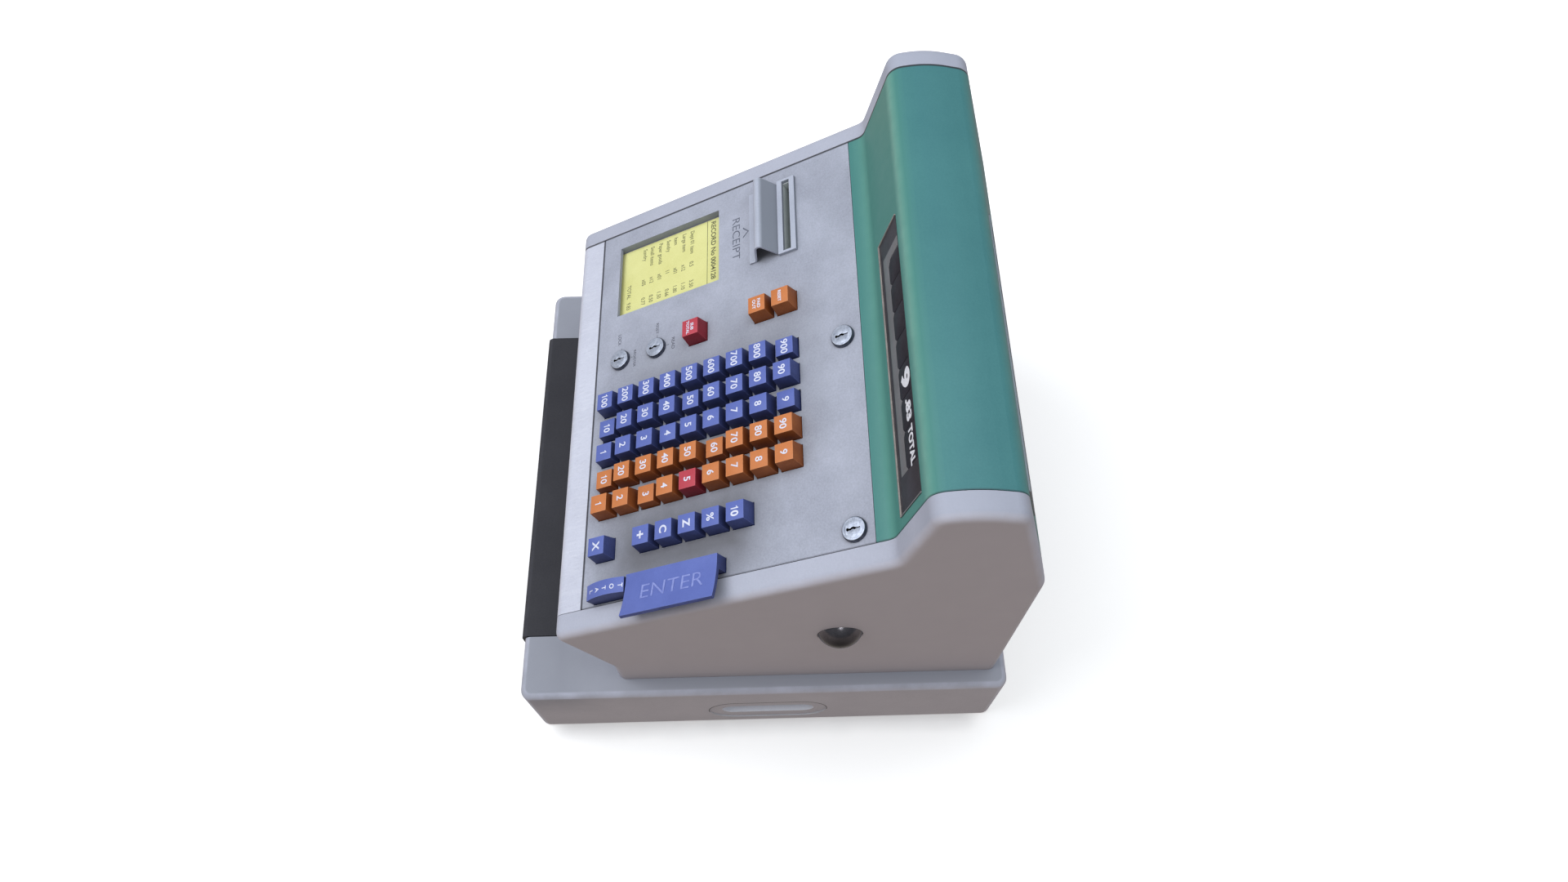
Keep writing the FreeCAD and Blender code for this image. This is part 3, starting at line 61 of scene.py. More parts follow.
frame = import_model()

MM = 0.001
UPRIGHT = Matrix.Scale(MM, 4)
# (depth, height) corners of the slopes
PANEL_FRONT, PANEL_SLOPE = (-124.25, 207.5), 29.0
HOOD_FOOT, HOOD_CREST = (85.659, 323.852), (100.65, 388.5)
REAR_FOOT, REAR_CREST = (185.55, 276.0), (154.55, 386.0)


def rise_and_length(foot, crest):
    """Angle in degrees and length of a slope between its corners."""
    deep, tall = abs(crest[0] - foot[0]), crest[1] - foot[1]
    return degrees(atan2(tall, deep)), hypot(tall, deep)


def slope_place(start, rise, turned_about=False):
    """Frame of a slope that starts at (depth, height): X across, Y up the slope, Z out of the face."""
    place = Matrix.Translation((0, start[0] * MM, start[1] * MM)) @ UPRIGHT
    if turned_about:
        place = place @ Matrix.Rotation(pi, 4, "Z")
    return place @ Matrix.Rotation(radians(rise), 4, "X")


HOOD_RISE, HOOD_LENGTH = rise_and_length(HOOD_FOOT, HOOD_CREST)
REAR_RISE, REAR_LENGTH = rise_and_length(REAR_FOOT, REAR_CREST)
# the frame on the back starts as far below its crest as the front slope is long
REAR_SHARE = HOOD_LENGTH / REAR_LENGTH
REAR_START = [crest + (foot - crest) * REAR_SHARE for foot, crest in zip(REAR_FOOT, REAR_CREST)]
PANEL = slope_place(PANEL_FRONT, PANEL_SLOPE)
HOOD_FRONT = slope_place(HOOD_FOOT, HOOD_RISE)
HOOD_BACK = slope_place(REAR_START, REAR_RISE, True)


# Shader groups that several finishes share

class Graph:
    """A shader tree, with short ways to add nodes to it."""

    def __init__(self, tree):
        self.tree = tree

    def feed(self, node, inputs):
        """Set a node's inputs, or link those for which an output socket is given."""
        for key, value in inputs.items():
            if isinstance(value, bpy.types.NodeSocket):
                self.tree.links.new(value, node.inputs[key])
            else:
                node.inputs[key].default_value = value
        return node

    def add(self, kind, inputs=None, **settings):
        node = self.tree.nodes.new("ShaderNode" + kind)
        for key, value in settings.items():
            setattr(node, key, value)
        return self.feed(node, inputs or {})

    def group(self, group, **values):
        return self.add("Group", values, node_tree=group)

    def maths(self, operation, first, second=0.0, clamp=False):
        return self.add("Math", {0: first, 1: second}, operation=operation, use_clamp=clamp).outputs[0]

    def times(self, first, second, clamp=False):
        return self.maths("MULTIPLY", first, second, clamp)

    def vector(self, operation, first, second=(0, 0, 0)):
        node = self.add("VectorMath", {0: first, 1: second}, operation=operation)
        return node.outputs["Value" if operation in ("DOT_PRODUCT", "LENGTH") else "Vector"]

    def blend(self, share, first, second):
        return self.add("Mix", {0: share, 6: first, 7: second}, data_type="RGBA").outputs[2]

    def spread(self, value, low, high, start=0.0, end=1.0):
        """Stretch a value so that low gives the start and high the end."""
        return self.add("MapRange", {"Value": value, "From Min": low, "From Max": high, "To Min": start,
                                     "To Max": end}).outputs[0]

    def spot(self):
        return self.add("TexCoord").outputs["Object"]

    def normal(self):
        return self.add("NewGeometry").outputs["Normal"]

    def noise(self, scale, detail=3.0, place=None, roughness=0.6):
        return self.add("TexNoise", {"Scale": scale, "Detail": detail, "Roughness": roughness,
                                     "Vector": place or self.spot()}).outputs["Fac"]

    def lay(self, shade, layers):
        """Lay the colour of each layer over a shade, as far as the layer's mask shows it."""
        for group, colour, values in layers:
            shade = self.blend(self.group(group, **values).outputs["Mask"], shade, srgb(colour))
        return shade

    def split_rays(self, unseen, seen, output):
        """Let the camera see one shader and every other ray meet another."""
        ray = self.add("LightPath").outputs["Is Camera Ray"]
        pick = self.add("MixShader", {0: ray, 1: unseen.outputs[0], 2: seen.outputs[0]})
        self.feed(self.tree.nodes[output], {"Surface": pick.outputs[0]})


RAY_SAMPLES = 4
SOCKETS = {1: "NodeSocketFloat", 3: "NodeSocketVector", 4: "NodeSocketColor"}
GREY = (0.5, 0.5, 0.5, 1.0)


def new_group(name, inputs, outputs):
    """An empty shader group with sockets to suit their start values: its graph, inputs and output node."""
    tree = bpy.data.node_groups.new(name, "ShaderNodeTree")
    for way, sockets in (("INPUT", inputs), ("OUTPUT", outputs)):
        for label, start in sockets.items():
            kind = SOCKETS[len(start) if isinstance(start, tuple) else 1]
            tree.interface.new_socket(label, in_out=way, socket_type=kind).default_value = start
    return Graph(tree), tree.nodes.new("NodeGroupInput").outputs, tree.nodes.new("NodeGroupOutput")


def makes_layers(**start):
    """Turn a function that draws a shared group's mask into a maker of layers: (group, colour, values)."""
    def make(draw):
        tree, given, made = new_group(draw.__name__, {**start, "Amount": 0.5}, {"Mask": 0.0})
        tree.feed(made, {"Mask": tree.times(draw(tree, given), given["Amount"], True)})
        return lambda colour, **values: (tree.tree, colour, values)
    return make


@makes_layers(Axes=(1, 0, 0), Break=90.0)
def rounded_wear(tree, given):
    """Rubbed paint and a painted highlight on the rounded edges whose normals lie between the named axes."""
    normal = tree.normal()
    squared = tree.vector("MULTIPLY", normal, normal)
    turning = tree.vector("MULTIPLY", squared, tree.vector("SUBTRACT", (1, 1, 1), squared))
    edge = tree.spread(tree.vector("DOT_PRODUCT", turning, given["Axes"]), 0.04, 0.22)
    patchy = tree.spread(tree.noise(given["Break"], 5.0), 0.3, 0.7)
    return tree.times(edge, tree.maths("ADD", tree.times(patchy, 0.7), 0.3))


@makes_layers(Depth=0.1, Height=0.3, Reach=0.01, Break=60.0, Patchy=0.3)
def crease_wear(tree, given):
    """A painted highlight along one crease that runs across the machine at a height and depth."""
    line = tree.add("CombineXYZ", {"Y": given["Depth"], "Z": given["Height"]}).outputs[0]
    flat = tree.vector("MULTIPLY", tree.vector("SUBTRACT", tree.spot(), line), (0, 1, 1))
    near = tree.maths("DIVIDE", tree.vector("LENGTH", flat), given["Reach"])
    gaps = tree.times(tree.spread(tree.noise(given["Break"], 6.0), 0.66, 0.38), given["Patchy"])
    return tree.times(tree.spread(near, 1.0, 0.15), tree.maths("SUBTRACT", 1.0, gaps))


@makes_layers(Axis=(1, 0, 0), Distance=0.1, Reach=0.0008)
def seam_shadow(tree, given):
    """The dark line of a seam, on the plane square to an axis at a distance from the middle."""
    away = tree.maths("SUBTRACT", tree.vector("DOT_PRODUCT", tree.spot(), given["Axis"]), given["Distance"])
    return tree.spread(tree.maths("DIVIDE", tree.maths("ABSOLUTE", away), given["Reach"]), 1.0, 0.55)


@makes_layers(Middle=(0, 0, 0), Half=(0.01, 0.01, 1), Fade=0.03, Break=40.0)
def soft_patch(tree, given):
    """A soft-edged darker patch, square to the axes; each use says what it stands for."""
    away = tree.vector("ABSOLUTE", tree.vector("SUBTRACT", tree.spot(), given["Middle"]))
    outside = tree.vector("MAXIMUM", tree.vector("SUBTRACT", away, given["Half"]))
    far = tree.maths("DIVIDE", tree.vector("LENGTH", outside), given["Fade"])
    patchy = tree.spread(tree.noise(given["Break"], 5.0), 0.25, 0.75)
    return tree.maths("SUBTRACT", tree.spread(far, 1.0, 0.0), tree.times(patchy, 0.25), True)


@makes_layers(Axis=(0, 0, 1))
def facing(tree, given):
    """Painted light and shade on the faces that look along an axis."""
    return tree.spread(tree.vector("DOT_PRODUCT", tree.normal(), given["Axis"]), 0.3, 0.9)


@makes_layers(Reach=0.0004, Break=400.0)
def sharp_wear(tree, given):
    """A thin bright line along sharp edges: rubbed paint and a painted highlight."""
    soft = tree.add("Bevel", {"Radius": given["Reach"]}, samples=RAY_SAMPLES).outputs[0]
    edge = tree.spread(tree.vector("DOT_PRODUCT", soft, tree.normal()), 0.995, 0.90)
    return tree.times(edge, tree.spread(tree.noise(given["Break"], 3.0), 0.25, 0.6))


@makes_layers(Stretch=(1, 1, 1), Scale=400.0, Share=0.4)
def brush_marks(tree, given):
    """Fine straight marks, long in the direction that the stretch leaves small."""
    drawn = tree.vector("MULTIPLY", tree.spot(), given["Stretch"])
    start = tree.maths("SUBTRACT", 0.72, tree.times(given["Share"], 0.3))
    return tree.spread(tree.noise(given["Scale"], 4.0, drawn, 0.75), start, 0.78)


@makes_layers(Reach=0.01)
def grime(tree, given):
    """Painted shade where faces close in on each other."""
    open_sky = tree.add("AmbientOcclusion", {"Distance": given["Reach"]}, samples=RAY_SAMPLES)
    return tree.spread(open_sky.outputs["AO"], 0.9, 0.35)


def make_mottle():
    """Patchy colour with fine specks, as old sprayed paint and moulded plastic show."""
    start = dict(Colour=GREY, Pale=GREY, Deep=GREY, Patch_Scale=20.0, Speck_Scale=900.0, Amount=0.5)
    tree, given, made = new_group("mottle", start, dict(Colour=GREY))
    patches = tree.spread(tree.noise(given["Patch_Scale"], 6.0), 0.32, 0.68)
    specks = tree.spread(tree.noise(given["Speck_Scale"], 2.0), 0.3, 0.7)
    both = tree.maths("ADD", tree.times(patches, 0.6), tree.times(specks, 0.4))
    mixed = tree.blend(both, given["Deep"], given["Pale"])
    tree.feed(made, {"Colour": tree.blend(given["Amount"], given["Colour"], mixed)})
    return tree.tree


def make_fine_grain():
    """Small relief and uneven gloss of a sprayed or moulded surface."""
    tree, given, made = new_group("fine_grain", dict(Scale=900.0, Gloss=0.5, Swing=0.1),
                                  dict(Height=0.0, Roughness=0.0))
    slow = tree.spread(tree.noise(tree.times(given["Scale"], 0.05), 4.0), 0.3, 0.7)
    swing = tree.times(tree.maths("SUBTRACT", slow, 0.5), given["Swing"])
    tree.feed(made, {"Height": tree.noise(given["Scale"], 3.0),
                     "Roughness": tree.maths("ADD", given["Gloss"], swing, True)})
    return tree.tree


MOTTLE, GRAIN = make_mottle(), make_fine_grain()


# Finishes

RELIEF_DEPTH = 0.0004


def srgb(colour):
    """The shader's linear colour for one named by its 0 to 255 display levels."""
    def linear(level):
        share = level / 255
        return share / 12.92 if share <= 0.04045 else ((share + 0.055) / 1.055) ** 2.4
    return (*map(linear, colour), 1.0)


def tone(colour, other):
    """Another colour, or the first with all its levels moved by a number."""
    return srgb(other if isinstance(other, tuple) else [level + other for level in colour])


def finish(name, colour, pale, deep, roughness, patch=30.0, speck=900.0, amount=0.6, grain=900.0, relief=0.05,
           swing=0.12, metal=0.0, shine=0.5, on=(), layers=()):
    """A mottled colour under layers of wear, marks, dirt, painted light and painted shade, with a fine
    relief, put on the named nodes.

    Pale and deep are colours, or steps of level from the colour.
    """
    material = bpy.data.materials.new(name)
    material.use_nodes = True
    tree = Graph(material.node_tree)
    shade = tree.group(MOTTLE, Colour=srgb(colour), Pale=tone(colour, pale), Deep=tone(colour, deep),
                       Patch_Scale=patch, Speck_Scale=speck, Amount=amount).outputs["Colour"]
    surface = tree.group(GRAIN, Scale=grain, Gloss=roughness, Swing=swing).outputs
    bump = tree.add("Bump", {"Strength": relief, "Distance": RELIEF_DEPTH, "Height": surface["Height"]})
    tree.feed(tree.tree.nodes["Principled BSDF"], {
        "Base Color": tree.lay(shade, layers), "Metallic": metal, "Specular IOR Level": shine,
        "Roughness": surface["Roughness"], "Normal": bump.outputs["Normal"]})
    for node in on:
        for held in frame["nodes"][node].material_slots:
            held.material = material
    return material


ALL_AXES = (1, 1, 1)
UP_SLOPE = (0.0, cos(radians(PANEL_SLOPE)), sin(radians(PANEL_SLOPE)))
FRONT_SLOPE_OUT = (0.0, -sin(radians(HOOD_RISE)), cos(radians(HOOD_RISE)))
PANEL_START = (PANEL_FRONT[0] * UP_SLOPE[1] + PANEL_FRONT[1] * UP_SLOPE[2]) * MM
PANEL_HALF = 0.1625
HOUSING_PALE, SEAM_DARK, HOOD_CREASE_LIGHT = (208, 211, 228), (52, 52, 58), (126, 182, 168)
SATIN = dict(relief=0.10, shine=0.3)
front_seam = seam_shadow(SEAM_DARK, Axis=UP_SLOPE, Distance=PANEL_START, Reach=0.0011, Amount=0.85)
right_seam = seam_shadow(SEAM_DARK, Axis=(1, 0, 0), Distance=PANEL_HALF, Reach=0.001, Amount=0.45)
left_seam = seam_shadow(SEAM_DARK, Axis=(-1, 0, 0), Distance=PANEL_HALF, Reach=0.0017, Amount=0.9)
# a pale line on sharp edges: rubbed paint and a painted highlight
worn_and_lit_edge = sharp_wear(HOUSING_PALE, Reach=0.0005, Amount=0.5)
finish("cover_paint", (180, 183, 198), 10, -12, 0.55, patch=14, speck=700, **SATIN,
       on=("side_cover_left", "side_cover_right", "back_cover"), layers=(
    # a darker band across the covers' flat caps at the hood
    soft_patch((164, 168, 183), Middle=(0, 0.128, 0.385), Half=(1, 0.03, 0.01), Fade=0.02, Amount=0.8),
    # painted warm bounce light on the covers' outer faces
    *(facing((186, 179, 183), Axis=(side, 0, 0), Amount=0.9) for side in (1, -1)),
    grime((140, 136, 136), Reach=0.02, Amount=0.3),
    rounded_wear(HOUSING_PALE, Axes=(1, 0, 0), Break=55.0, Amount=0.4)))
finish("base_paint", (184, 181, 188), 11, -12, 0.55, patch=12, speck=700, **SATIN,
       on=("base_shell",), layers=(
    # painted shade on the upward faces of the base
    facing((164, 168, 180), Axis=(0, 0, 1), Amount=0.9),
    # painted shade along the front edge of the base's top
    soft_patch((138, 141, 152), Middle=(0, -0.19, 0.09), Half=(1, 0.03, 0.01), Fade=0.05, Amount=0.6),
    grime((128, 131, 138), Reach=0.02, Amount=0.15),
    rounded_wear(HOUSING_PALE, Axes=ALL_AXES, Break=50.0, Amount=0.6)))
# pale finishes that paint light on the walls of the hand grips
grip_lit_lining = finish("grip_lit_lining", (232, 235, 243), (242, 245, 252), (218, 221, 230), 0.55, **SATIN)
grip_step = finish("grip_step", (204, 206, 212), 10, -12, 0.55, **SATIN)
# a dark finish for the painted shadow line over each hand grip
grip_shadow = finish("grip_shadow", (66, 64, 66), 14, -12, 0.6, patch=60, amount=0.7)
window_lining = finish("window_lining", (146, 151, 174), 12, -14, 0.55, **SATIN)
finish("guide_paint", (178, 183, 198), 11, -14, 0.5, amount=0.7, **SATIN, on=("receipt_guide",), layers=(
    # painted shade on the guide's faces that look up the slope
    facing((134, 138, 149), Axis=UP_SLOPE, Amount=0.95),
    grime((104, 107, 116), Reach=0.01, Amount=0.4), worn_and_lit_edge))
chute_grey = finish("chute_grey", (172, 178, 178), 12, -16, 0.6, patch=60, amount=0.7, shine=0.3)
finish("panel_paint", (168, 172, 187), 16, (148, 151, 165), 0.55, patch=26, speck=800, amount=0.9,
       relief=0.12, shine=0.3, on=("key_panel",), layers=(
    # dirt from hands round the right-hand keys
    soft_patch((105, 105, 111), Middle=(0.126, -0.05, 0), Half=(0.012, 0.035, 1), Fade=0.04, Amount=1.0),
    # painted shade among the amount keys
    soft_patch((122, 123, 130), Middle=(0.03, -0.03, 0), Half=(0.04, 0.05, 1), Fade=0.045, Amount=0.55),
    grime((112, 112, 116), Reach=0.025, Amount=0.6), worn_and_lit_edge, front_seam, left_seam, right_seam))
finish("rail_paint", (204, 207, 222), (214, 217, 231), (192, 194, 209), 0.5, patch=20, speck=800, **SATIN,
       on=("front_rail",), layers=(
    brush_marks((228, 230, 240), Stretch=(1.0, 0.1, 0.1), Scale=620.0, Share=0.8, Amount=0.45),
    brush_marks((162, 165, 180), Stretch=(0.7, 0.2, 0.2), Scale=900.0, Share=0.6, Amount=0.4),
    front_seam, left_seam))
finish("hood_paint", (69, 126, 129), (77, 135, 136), (61, 116, 122), 0.48, patch=16, speck=800, relief=0.08,
       shine=0.3, on=("indicator_hood",), layers=(
    # painted warm light that turns the hood's front slope greener
    facing((80, 140, 130), Axis=FRONT_SLOPE_OUT, Amount=0.9),
    # painted highlights along the hood's creases
    crease_wear(HOOD_CREASE_LIGHT, Depth=0.0835, Height=0.3225, Reach=0.008, Break=70.0, Amount=0.25),
    crease_wear(HOOD_CREASE_LIGHT, Depth=0.1005, Height=0.3815, Reach=0.007, Break=80.0, Amount=0.75),
    crease_wear(HOOD_CREASE_LIGHT, Depth=0.1525, Height=0.3825, Reach=0.006, Break=80.0, Amount=0.2),
    left_seam, right_seam))
finish("drawer_paint", (58, 58, 63), 8, -8, 0.62, patch=18, speck=700, relief=0.12, shine=0.15,
       on=("drawer_front",), layers=(
    rounded_wear((84, 85, 92), Axes=ALL_AXES, Break=60.0, Amount=0.4),
    brush_marks((90, 91, 98), Stretch=(0.08, 1.0, 1.0), Scale=500.0, Share=0.2, Amount=0.3)))


def key_plastic(name, top, pale, deep, side, shade, edge):
    """The finish of a key's top, and a darker copy for its steep faces that paints their shade."""
    shared = dict(speck=1500, relief=0.06, shine=0.3)
    tops = finish(name, top, pale, deep, 0.5, patch=60, **shared, layers=(
        grime(shade, Reach=0.015, Amount=0.8), sharp_wear(edge, Reach=0.0005, Amount=0.6)))
    shaded_sides = finish(name + "_sides", side, side, shade, 0.5, patch=80, amount=0.7, **shared, layers=(
        grime(shade, Reach=0.02, Amount=1.0), sharp_wear(edge, Reach=0.0004, Amount=0.4)))
    return tops, shaded_sides


# each key plastic with a darker copy that paints shade on the keys' steep faces
blue_plastic, blue_shaded_sides = key_plastic(
    "blue_plastic", (97, 112, 183), (105, 121, 192), (88, 102, 171),
    side=(78, 90, 152), shade=(38, 45, 84), edge=(140, 152, 216))
orange_plastic, orange_shaded_sides = key_plastic(
    "orange_plastic", (204, 125, 74), (213, 135, 86), (192, 113, 60),
    side=(172, 98, 50), shade=(108, 52, 20), edge=(226, 170, 130))
red_plastic, red_shaded_sides = key_plastic(
    "red_plastic", (188, 68, 82), (198, 80, 94), (174, 56, 68),
    side=(158, 44, 58), shade=(98, 20, 30), edge=(222, 128, 136))
white_ink = finish("white_ink", (238, 238, 244), (248, 248, 252), (214, 216, 226), 0.5, patch=120, amount=0.5)
figure_ink = finish("figure_ink", (222, 224, 240), (234, 236, 248), (198, 202, 226), 0.5, patch=160)
enter_ink = finish("enter_ink", (136, 147, 210), (156, 166, 222), (108, 121, 192), 0.5, patch=220, amount=0.9,
                   shine=0.3)
legend_ink = finish("legend_ink", (66, 68, 78), (96, 98, 110), (50, 52, 60), 0.6, patch=300, amount=0.8)
receipt_ink = finish("receipt_ink", (94, 98, 113), (122, 126, 142), (72, 76, 90), 0.55, patch=200, amount=0.9)
print_ink = finish("print_ink", (92, 92, 64), (130, 130, 92), (64, 64, 46), 0.8, patch=350, amount=0.95)
lock_face = finish("lock_face", (182, 191, 211), (210, 217, 231), (134, 143, 164), 0.42, patch=420,
                   speck=2400, amount=0.9, metal=0.5, relief=0.3, swing=0.3, layers=(
    brush_marks((230, 235, 246), Stretch=(1.0, 0.25, 0.25), Scale=900.0, Share=0.7, Amount=0.6),
    brush_marks((122, 130, 150), Stretch=(0.25, 1.0, 1.0), Scale=1100.0, Share=0.6, Amount=0.5)))
# dark metal that paints shade on the rounded edges of the lock rings
lock_rim_shade = finish("lock_rim_shade", (84, 88, 100), 38, (50, 53, 62), 0.3, patch=300, amount=0.8, metal=1.0,
                  relief=0.1, swing=0.2)
# black that paints the shade inside the shallow keyways
keyway_shade = finish("keyway_shade", (10, 10, 12), 8, (4, 4, 5), 0.7, patch=400, amount=0.5)
finish("dome_chrome", (112, 111, 118), 20, (84, 82, 87), 0.2, patch=90, speck=1200, amount=0.8, metal=1.0,
       relief=0.1, swing=0.1, on=("release_button",), layers=(
    # painted dark reflection on the dome's lower side
    facing((18, 16, 17), Axis=(0.95, 0, -0.31), Amount=1.0),))
steel = finish("steel", (150, 152, 156), 26, -32, 0.38, amount=0.7, metal=0.9, relief=0.1, swing=0.2, on=(
    "base_plate", "base_screws", "drawer_runners", "drawer_box", "drawer_latch", "indicator_shaft",
    "key_guide_plate", "frame_left", "frame_right", "main_shaft", "motor_pinion"), layers=(
    brush_marks((196, 198, 202), Stretch=(0.1, 1.0, 1.0), Scale=500.0, Share=0.4, Amount=0.4),))
finish("motor_paint", (58, 66, 62), (72, 82, 76), -14, 0.5, patch=40, on=("drive_motor",))
bezel_dark = finish("bezel_dark", (50, 47, 53), 10, (40, 38, 43), 0.45, patch=50, amount=0.7, **SATIN,
                    layers=(sharp_wear((96, 92, 96), Reach=0.0003, Amount=0.5),))
tile_dark = finish("tile_dark", (42, 39, 46), 9, (33, 31, 37), 0.5, patch=70, amount=0.7, relief=0.08,
                   shine=0.12)
bezel_border = finish("bezel_border", (158, 150, 144), 32, (122, 114, 110), 0.4, patch=120, amount=0.8,
                      metal=0.3)
customer_border = finish("customer_border", (148, 158, 167), 14, -18, 0.45, patch=60, amount=0.7)
tile_bar = finish("tile_bar", (112, 112, 114), 14, (98, 97, 100), 0.45, patch=60, amount=0.7, layers=(
    sharp_wear((158, 158, 160), Reach=0.0004, Amount=0.6),))
finish("drum_plastic", (48, 47, 50), 12, (36, 36, 38), 0.45, patch=60, amount=0.5,
       on=("hundreds_drum", "tens_drum", "units_drum", "dimes_drum", "cents_drum", "function_drum"))
finish("paper_yellow", (226, 224, 152), (234, 232, 166), (214, 211, 136), 0.85, speck=1400, amount=0.8,
       grain=1600, relief=0.15, shine=0.2, on=("journal_paper", "journal_roll", "takeup_spool"))
finish("tray_plastic", (74, 76, 82), 12, -14, 0.5, relief=0.15, on=("till_tray",), layers=(
    sharp_wear((120, 122, 128), Reach=0.0005, Amount=0.5),))
rubber = finish("rubber", (36, 36, 38), 10, -10, 0.85, patch=80, amount=0.7, relief=0.3)


# The walls of the hand grips in the base's sides are paler than the base, as painted light on the slot's
# walls and on the step round it

GRIP_MIDDLE, GRIP_HALF = (3.25, 35.0), (39.0, 10.0)
GRIP_FROM, GRIP_TO, BASE_HALF = 182.5, 192.6, 193.75
GRIP_STEP_LENGTH, GRIP_STEP_HEIGHT = 97.0, 44.0
# how far off a limit a face still counts
NEAR = 0.1
# how much of a normal may lie along an axis for a wall, and has to for a top or a flat top
WALL, TOP, FLAT_TOP = 0.3, 0.5, 0.8
base_mesh = frame["nodes"]["base_shell"].data
base_mesh.materials.append(grip_lit_lining)
base_mesh.materials.append(grip_step)
for wall in base_mesh.polygons:
    x, y, z = wall.center / MM
    out, along, up = abs(x), abs(y - GRIP_MIDDLE[0]), abs(z - GRIP_MIDDLE[1])
    in_slot = GRIP_FROM < out < GRIP_TO and along < GRIP_HALF[0] and up < GRIP_HALF[1]
    on_step = (GRIP_TO < out < BASE_HALF - NEAR and abs(wall.normal.x) < WALL
               and along < GRIP_STEP_LENGTH / 2 + NEAR and up < GRIP_STEP_HEIGHT / 2 + NEAR)
    if in_slot or on_step:
        wall.material_index = len(base_mesh.materials) - (2 if in_slot else 1)


# The walls of the journal window have their own finish too

WINDOW_X, WINDOW_ALONG = (-147.0, -78.0), (16.0, 114.0)
panel_mesh = frame["nodes"]["key_panel"].data
panel_mesh.materials.append(window_lining)
on_panel = PANEL.inverted()
for wall in panel_mesh.polygons:
    x, along, _ = on_panel @ wall.center
    upright = abs((on_panel.to_3x3() @ wall.normal).normalized().z) < WALL
    if upright and WINDOW_X[0] < x < WINDOW_X[1] and WINDOW_ALONG[0] < along < WINDOW_ALONG[1]:
        wall.material_index = len(panel_mesh.materials) - 1


# Shape helpers: most make or add to a bmesh in millimetres, in the frame that the piece is then placed by

JOIN_WITHIN = 0.0005
SHARP_ANGLE, SMOOTH_ANGLE = radians(20), radians(35)
EDGE_PROFILE = 0.6


def new_object(name, data):
    thing = bpy.data.objects.new(name, data)
    bpy.context.scene.collection.objects.link(thing)
    return thing


def mesh_of(shape, name="part"):
    """A mesh in place of a bmesh."""
    mesh = bpy.data.meshes.new(name)
    shape.to_mesh(mesh)
    shape.free()
    return mesh


def merge(shape, other, place=None, finish_index=None):
    """Add one bmesh to another."""
    mesh = mesh_of(other)
    if place is not None:
        mesh.transform(place)
    first = len(shape.faces)
    shape.from_mesh(mesh)
    bpy.data.meshes.remove(mesh)
    if finish_index is not None:
        shape.faces.ensure_lookup_table()
        for face in shape.faces[first:]:
            face.material_index = finish_index


def bevel_sharp(shape, width, segments=2, wanted=None):
    """Round the sharp edges, or those of them that are wanted."""
    edges = [edge for edge in shape.edges if len(edge.link_faces) == 2
             and edge.calc_face_angle(0) > SHARP_ANGLE and (wanted is None or wanted(edge))]
    bmesh.ops.bevel(shape, geom=edges, offset=width, segments=segments, profile=EDGE_PROFILE, affect="EDGES",
                    clamp_overlap=True)


def loft(rings):
    """A skin over rings of points, with a face on each end unless the last ring is the first."""
    shape = bmesh.new()
    corners = [[shape.verts.new(point) for point in ring] for ring in rings]
    closed = rings[0] == rings[-1]
    if not closed:
        shape.faces.new(corners[0])
        shape.faces.new(corners[-1])
    for low, high in zip(corners, corners[1:]):
        for i in range(len(low)):
            j = (i + 1) % len(low)
            shape.faces.new((low[i], low[j], high[j], high[i]))
    if closed:
        bmesh.ops.remove_doubles(shape, verts=shape.verts, dist=JOIN_WITHIN)
    bmesh.ops.recalc_face_normals(shape, faces=shape.faces)
    return shape


def prism(outline, axis, low, high):
    """A closed outline drawn out along an axis; the outline gives the other two coordinates in order."""
    return loft([[(*point[:axis], level, *point[axis:]) for point in outline] for level in (low, high)])


def rectangle(left, low, right, high):
    return [(left, low), (right, low), (right, high), (left, high)]


def box_outline(x, y, wide, long):
    """A rectangle about its middle."""
    return rectangle(x - wide / 2, y - long / 2, x + wide / 2, y + long / 2)


def circle(radius, count=72):
    turns = [2 * pi * i / count for i in range(count)]
    return [(radius * cos(turn), radius * sin(turn)) for turn in turns]


def turned(profile, count=64):
    """A ring or knob: (radius, height) corners turned about the local Z."""
    return loft([[(x, y, height) for x, y in circle(radius, count)] for radius, height in profile])


def steps(start, end, count):
    return [start + (end - start) * i / count for i in range(count + 1)]


def curve_mesh(curve):
    """The mesh of a curve or text, with its doubled points joined."""
    thing = new_object("outline", curve)
    bpy.context.view_layer.update()
    mesh = bpy.data.meshes.new_from_object(thing.evaluated_get(bpy.context.evaluated_depsgraph_get()))
    bpy.data.objects.remove(thing)
    bpy.data.curves.remove(curve)
    shape = bmesh.new()
    shape.from_mesh(mesh)
    bpy.data.meshes.remove(mesh)
    bmesh.ops.remove_doubles(shape, verts=shape.verts, dist=JOIN_WITHIN)
    bmesh.ops.recalc_face_normals(shape, faces=shape.faces)
    return shape


def plate(outline, low, high, edge, holes=()):
    """A flat plate with rounded edges and holes, from outlines seen from above."""
    curve = bpy.data.curves.new("plate", "CURVE")
    curve.dimensions, curve.fill_mode = "2D", "BOTH"
    for points in (outline, *holes):
        line = curve.splines.new("POLY")
        line.points.add(len(points) - 1)
        for spot, (x, y) in zip(line.points, points):
            spot.co = (x, y, 0, 1)
        line.use_cyclic_u = True
    curve.extrude = (high - low) / 2 - edge
    curve.bevel_depth, curve.bevel_resolution, curve.offset = edge, 1, -edge
    shape = curve_mesh(curve)
    bmesh.ops.translate(shape, verts=shape.verts, vec=(0, 0, (high + low) / 2))
    return shape


CAPITAL_SHARE, LINE_GAP, LETTER_STEPS = 0.729, 1.5, 4
INK_HALF, INK_EDGE = 0.05, 0.02


